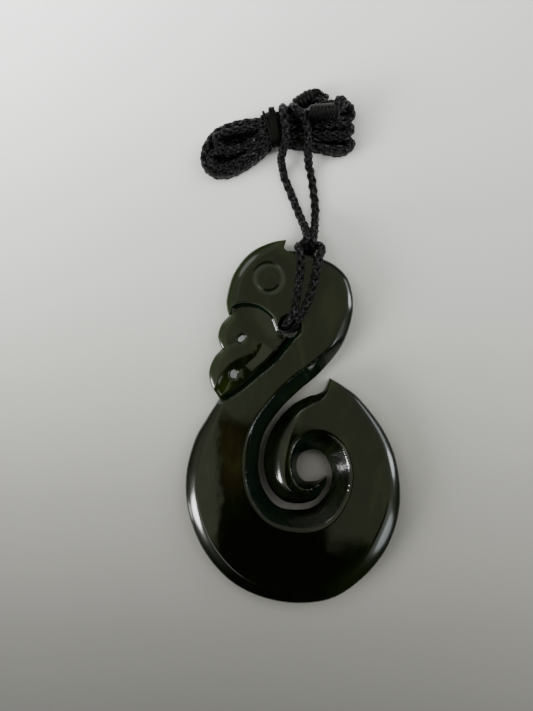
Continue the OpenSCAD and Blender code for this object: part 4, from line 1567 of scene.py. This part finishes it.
@dataclass
class Studio:
    """The pale card, the soft light and the camera straight above."""

    eye: Triple = (-5.24, 13.12, 243.7)
    lens: float = 60.76
    card: bpy.types.Object | None = None
    beak_holes: Rows = ((-10.2, 16.5), (-11.8, 9.4))
    room: Room = field(default_factory=Room)
    cool: Triple = (0.92, 0.98, 1.0)
    hole_light: Triple = (0.0062, 0.0008, 0.00018)
    hole_colour: Triple = (0.9, 0.97, 1.0)

    def place_camera(self) -> None:
        """Hangs the camera over the pendant, looking straight down."""
        data = bpy.data.cameras.new("camera")
        data.lens = self.lens
        data.sensor_width = 36
        data.clip_start = 0.005
        data.clip_end = 20
        camera = bpy.data.objects.new("camera", data)
        camera.location = Vector(self.eye) * MM
        bpy.context.scene.collection.objects.link(camera)
        bpy.context.scene.camera = camera

    def lay_card(self) -> None:
        """Lays the card under the pendant."""
        bm = bmesh.new()
        bmesh.ops.create_grid(bm, x_segments=1, y_segments=1, size=1.5)
        mesh = bpy.data.meshes.new("card")
        bm.to_mesh(mesh)
        bm.free()
        card = bpy.data.objects.new("card", mesh)
        bpy.context.scene.collection.objects.link(card)
        mesh.materials.append(CardFinish().make())
        self.card = card

    def lamp(self, name: str, place: Triple, aim: Triple, size: Pair, power: float,
             colour: Triple = (1, 1, 1), spread: float = 180) -> bpy.types.Object:
        """Adds a soft rectangular lamp.

        Args:
            name: its name.
            place: its place in metres.
            aim: the point that it faces, in metres.
            size: its sides in metres.
            power: its power in watts.
            colour: its colour.
            spread: how wide it shines, in degrees.

        Returns:
            The lamp.
        """
        data = bpy.data.lights.new(name, "AREA")
        data.shape = "RECTANGLE"
        data.size, data.size_y = size
        data.energy = power
        data.color = colour
        data.spread = math.radians(spread)
        lamp = bpy.data.objects.new(name, data)
        lamp.location = place
        lamp.rotation_euler = (Vector(aim) - Vector(place)).to_track_quat("-Z", "Y").to_euler()
        lamp.visible_camera = False
        bpy.context.scene.collection.objects.link(lamp)
        return lamp

    def window(self, name: str, azimuth: float, elevation: float, distance: float, size: Pair,
               power: float, colour: Triple = (1, 1, 1)) -> bpy.types.Object:
        """Adds a lamp that faces the stone.

        Args:
            name: its name.
            azimuth: its bearing from the stone in degrees.
            elevation: its height over the horizon in degrees.
            distance: its distance in metres.
            size: its sides in metres.
            power: its power in watts.
            colour: its colour.

        Returns:
            The lamp.
        """
        a, e = math.radians(azimuth), math.radians(elevation)
        place = (distance * math.cos(e) * math.cos(a), distance * math.cos(e) * math.sin(a),
                 distance * math.sin(e))
        return self.lamp(name, place, (0, 0, 0), size, power, colour)

    def only_for(self, name: str, pieces: Sequence[bpy.types.Object],
                 lamps: Sequence[bpy.types.Object]) -> None:
        """Lets some lamps light some pieces alone.

        Args:
            name: name of the pieces' collection.
            pieces: what is lit.
            lamps: what lights it.
        """
        only = bpy.data.collections.new(name)
        for piece in pieces:
            only.objects.link(piece)
        for lamp in lamps:
            lamp.light_linking.receiver_collection = only

    def light(self) -> None:
        """Sets the room, and lights the card alone: from two sides, from above and in the beak's holes."""
        bpy.context.scene.world = self.room.make()
        wash = [self.lamp("card_key", (-0.454, -0.156, 0.282), (0.03, 0.06, 0), (0.5, 0.4), 0.85, spread=45),
                self.lamp("card_fill", (0.177, 0.072, 0.564), (0.02, -0.06, 0), (0.3, 0.3), 0.2, spread=45),
                self.lamp("card_top", (-0.14, 0.1, 0.3), (-0.05, 0.05, 0), (0.2, 0.2), 0.85)]
        height, side, power = self.hole_light
        for k, (x, y) in enumerate(self.beak_holes):
            foot = (x * MM, y * MM, 0)
            wash.append(self.lamp(f"hole_light_{k}", (foot[0], foot[1], height), foot, (side, side), power,
                                  self.hole_colour))
        self.only_for("card_only", [self.card], wash)

    def soft_lights(self, pieces: Sequence[bpy.types.Object]) -> None:
        """Adds the soft light on the card and the cord."""
        lamps = [self.window("right_glow", 30, 42, 0.85, (0.5, 0.4), 2.6),
                 self.window("left_glow", 205, 34, 0.85, (0.7, 0.34), 1.6)]
        self.only_for("plain_pieces", [self.card, *pieces], lamps)

    def polish_lights(self, stone: bpy.types.Object) -> None:
        """Adds the windows that the polished stone mirrors.

        Args:
            stone: the stone, which they alone light.
        """
        cool = self.cool
        lamps = [self.window("left_window", 200.5, 31, 0.8, (0.2, 0.32), 6.4),
                 self.window("low_left_window", 199, 12, 0.9, (0.12, 0.1), 0.25),
                 self.window("brow_window", 135, 38, 0.9, (0.36, 0.38), 0.5),
                 self.window("eye_window", 222, 58, 0.9, (0.44, 0.2), 0.28),
                 self.window("right_window", 5, 24, 0.9, (0.2, 0.2), 1.1, cool),
                 self.window("high_right_window", 22, 24, 0.9, (0.4, 0.13), 0.48, cool),
                 self.window("heel_window", -30, 23, 0.9, (0.24, 0.34), 0.72, cool),
                 self.window("heel_glow", -28, 36, 0.9, (0.34, 0.5), 0.3, cool)]
        for lamp in lamps:
            lamp.data.shape = "ELLIPSE"
        self.only_for("stone_only", [stone], lamps)

    def build(self) -> None:
        """Sets the studio round the pendant."""
        self.place_camera()
        self.lay_card()
        self.light()


LOW_KNOT = SlidingKnot(
    "low_knot", Part.LOW_KNOT, (0.6, 63.5, 1.75), (4.3, 65.7, 1.75),
    (((3.8, 65.3, 1.7), (4.5, 66.1, 2.3), (5.4, 65.9, 2.1), (5.8, 65.2, 1.7), (6.5, 65.1, 1.4),
      (6.7, 65.7, 1.1)),
     ((3.8, 64.6, 2.0), (5.2, 64.1, 3.2), (6.8, 63.5, 3.9), (8.6, 63.2, 4.6))), turns=5)
HIGH_KNOT = SlidingKnot(
    "high_knot", Part.HIGH_KNOT, (3.5, 61.1, 7.3), (8.8, 61.3, 7.3),
    (((8.6, 61.3, 7.2), (8.6, 62.3, 7.4), (8.8, 63.3, 7.1), (9.35, 63.95, 6.6), (9.95, 63.6, 6.1),
      (10.2, 62.7, 5.6)),), turns=7.5)


def main() -> None:
    """Builds the studio, the cord and its pieces, and the stone."""
    logging.basicConfig(level=logging.INFO, format="%(name)s: %(message)s")
    studio = Studio()
    studio.build()
    braid = WaxedBraidFinish().make()
    cord = NeckCord()
    strand = cord.build(braid)
    # The knots' wraps get a copy of the braid's finish painted darker as painted shade, with dimmer painted
    # glints.
    painted_darker_wraps = WaxedBraidFinish("waxed_wraps_painted_darker", worn=(0.005, 0.005, 0.007), painted_glint=(0.035, 0.035, 0.04)).make()
    companions = LOW_KNOT.build(painted_darker_wraps, braid) + HIGH_KNOT.build(painted_darker_wraps, braid)
    companions.append(ElasticBand().build(RubberFinish().make()))
    cord.declare()
    studio.soft_lights([strand, *companions])
    studio.polish_lights(PolishedStone().build(NephriteFinish().make()))


if __name__ == "__main__":
    main()
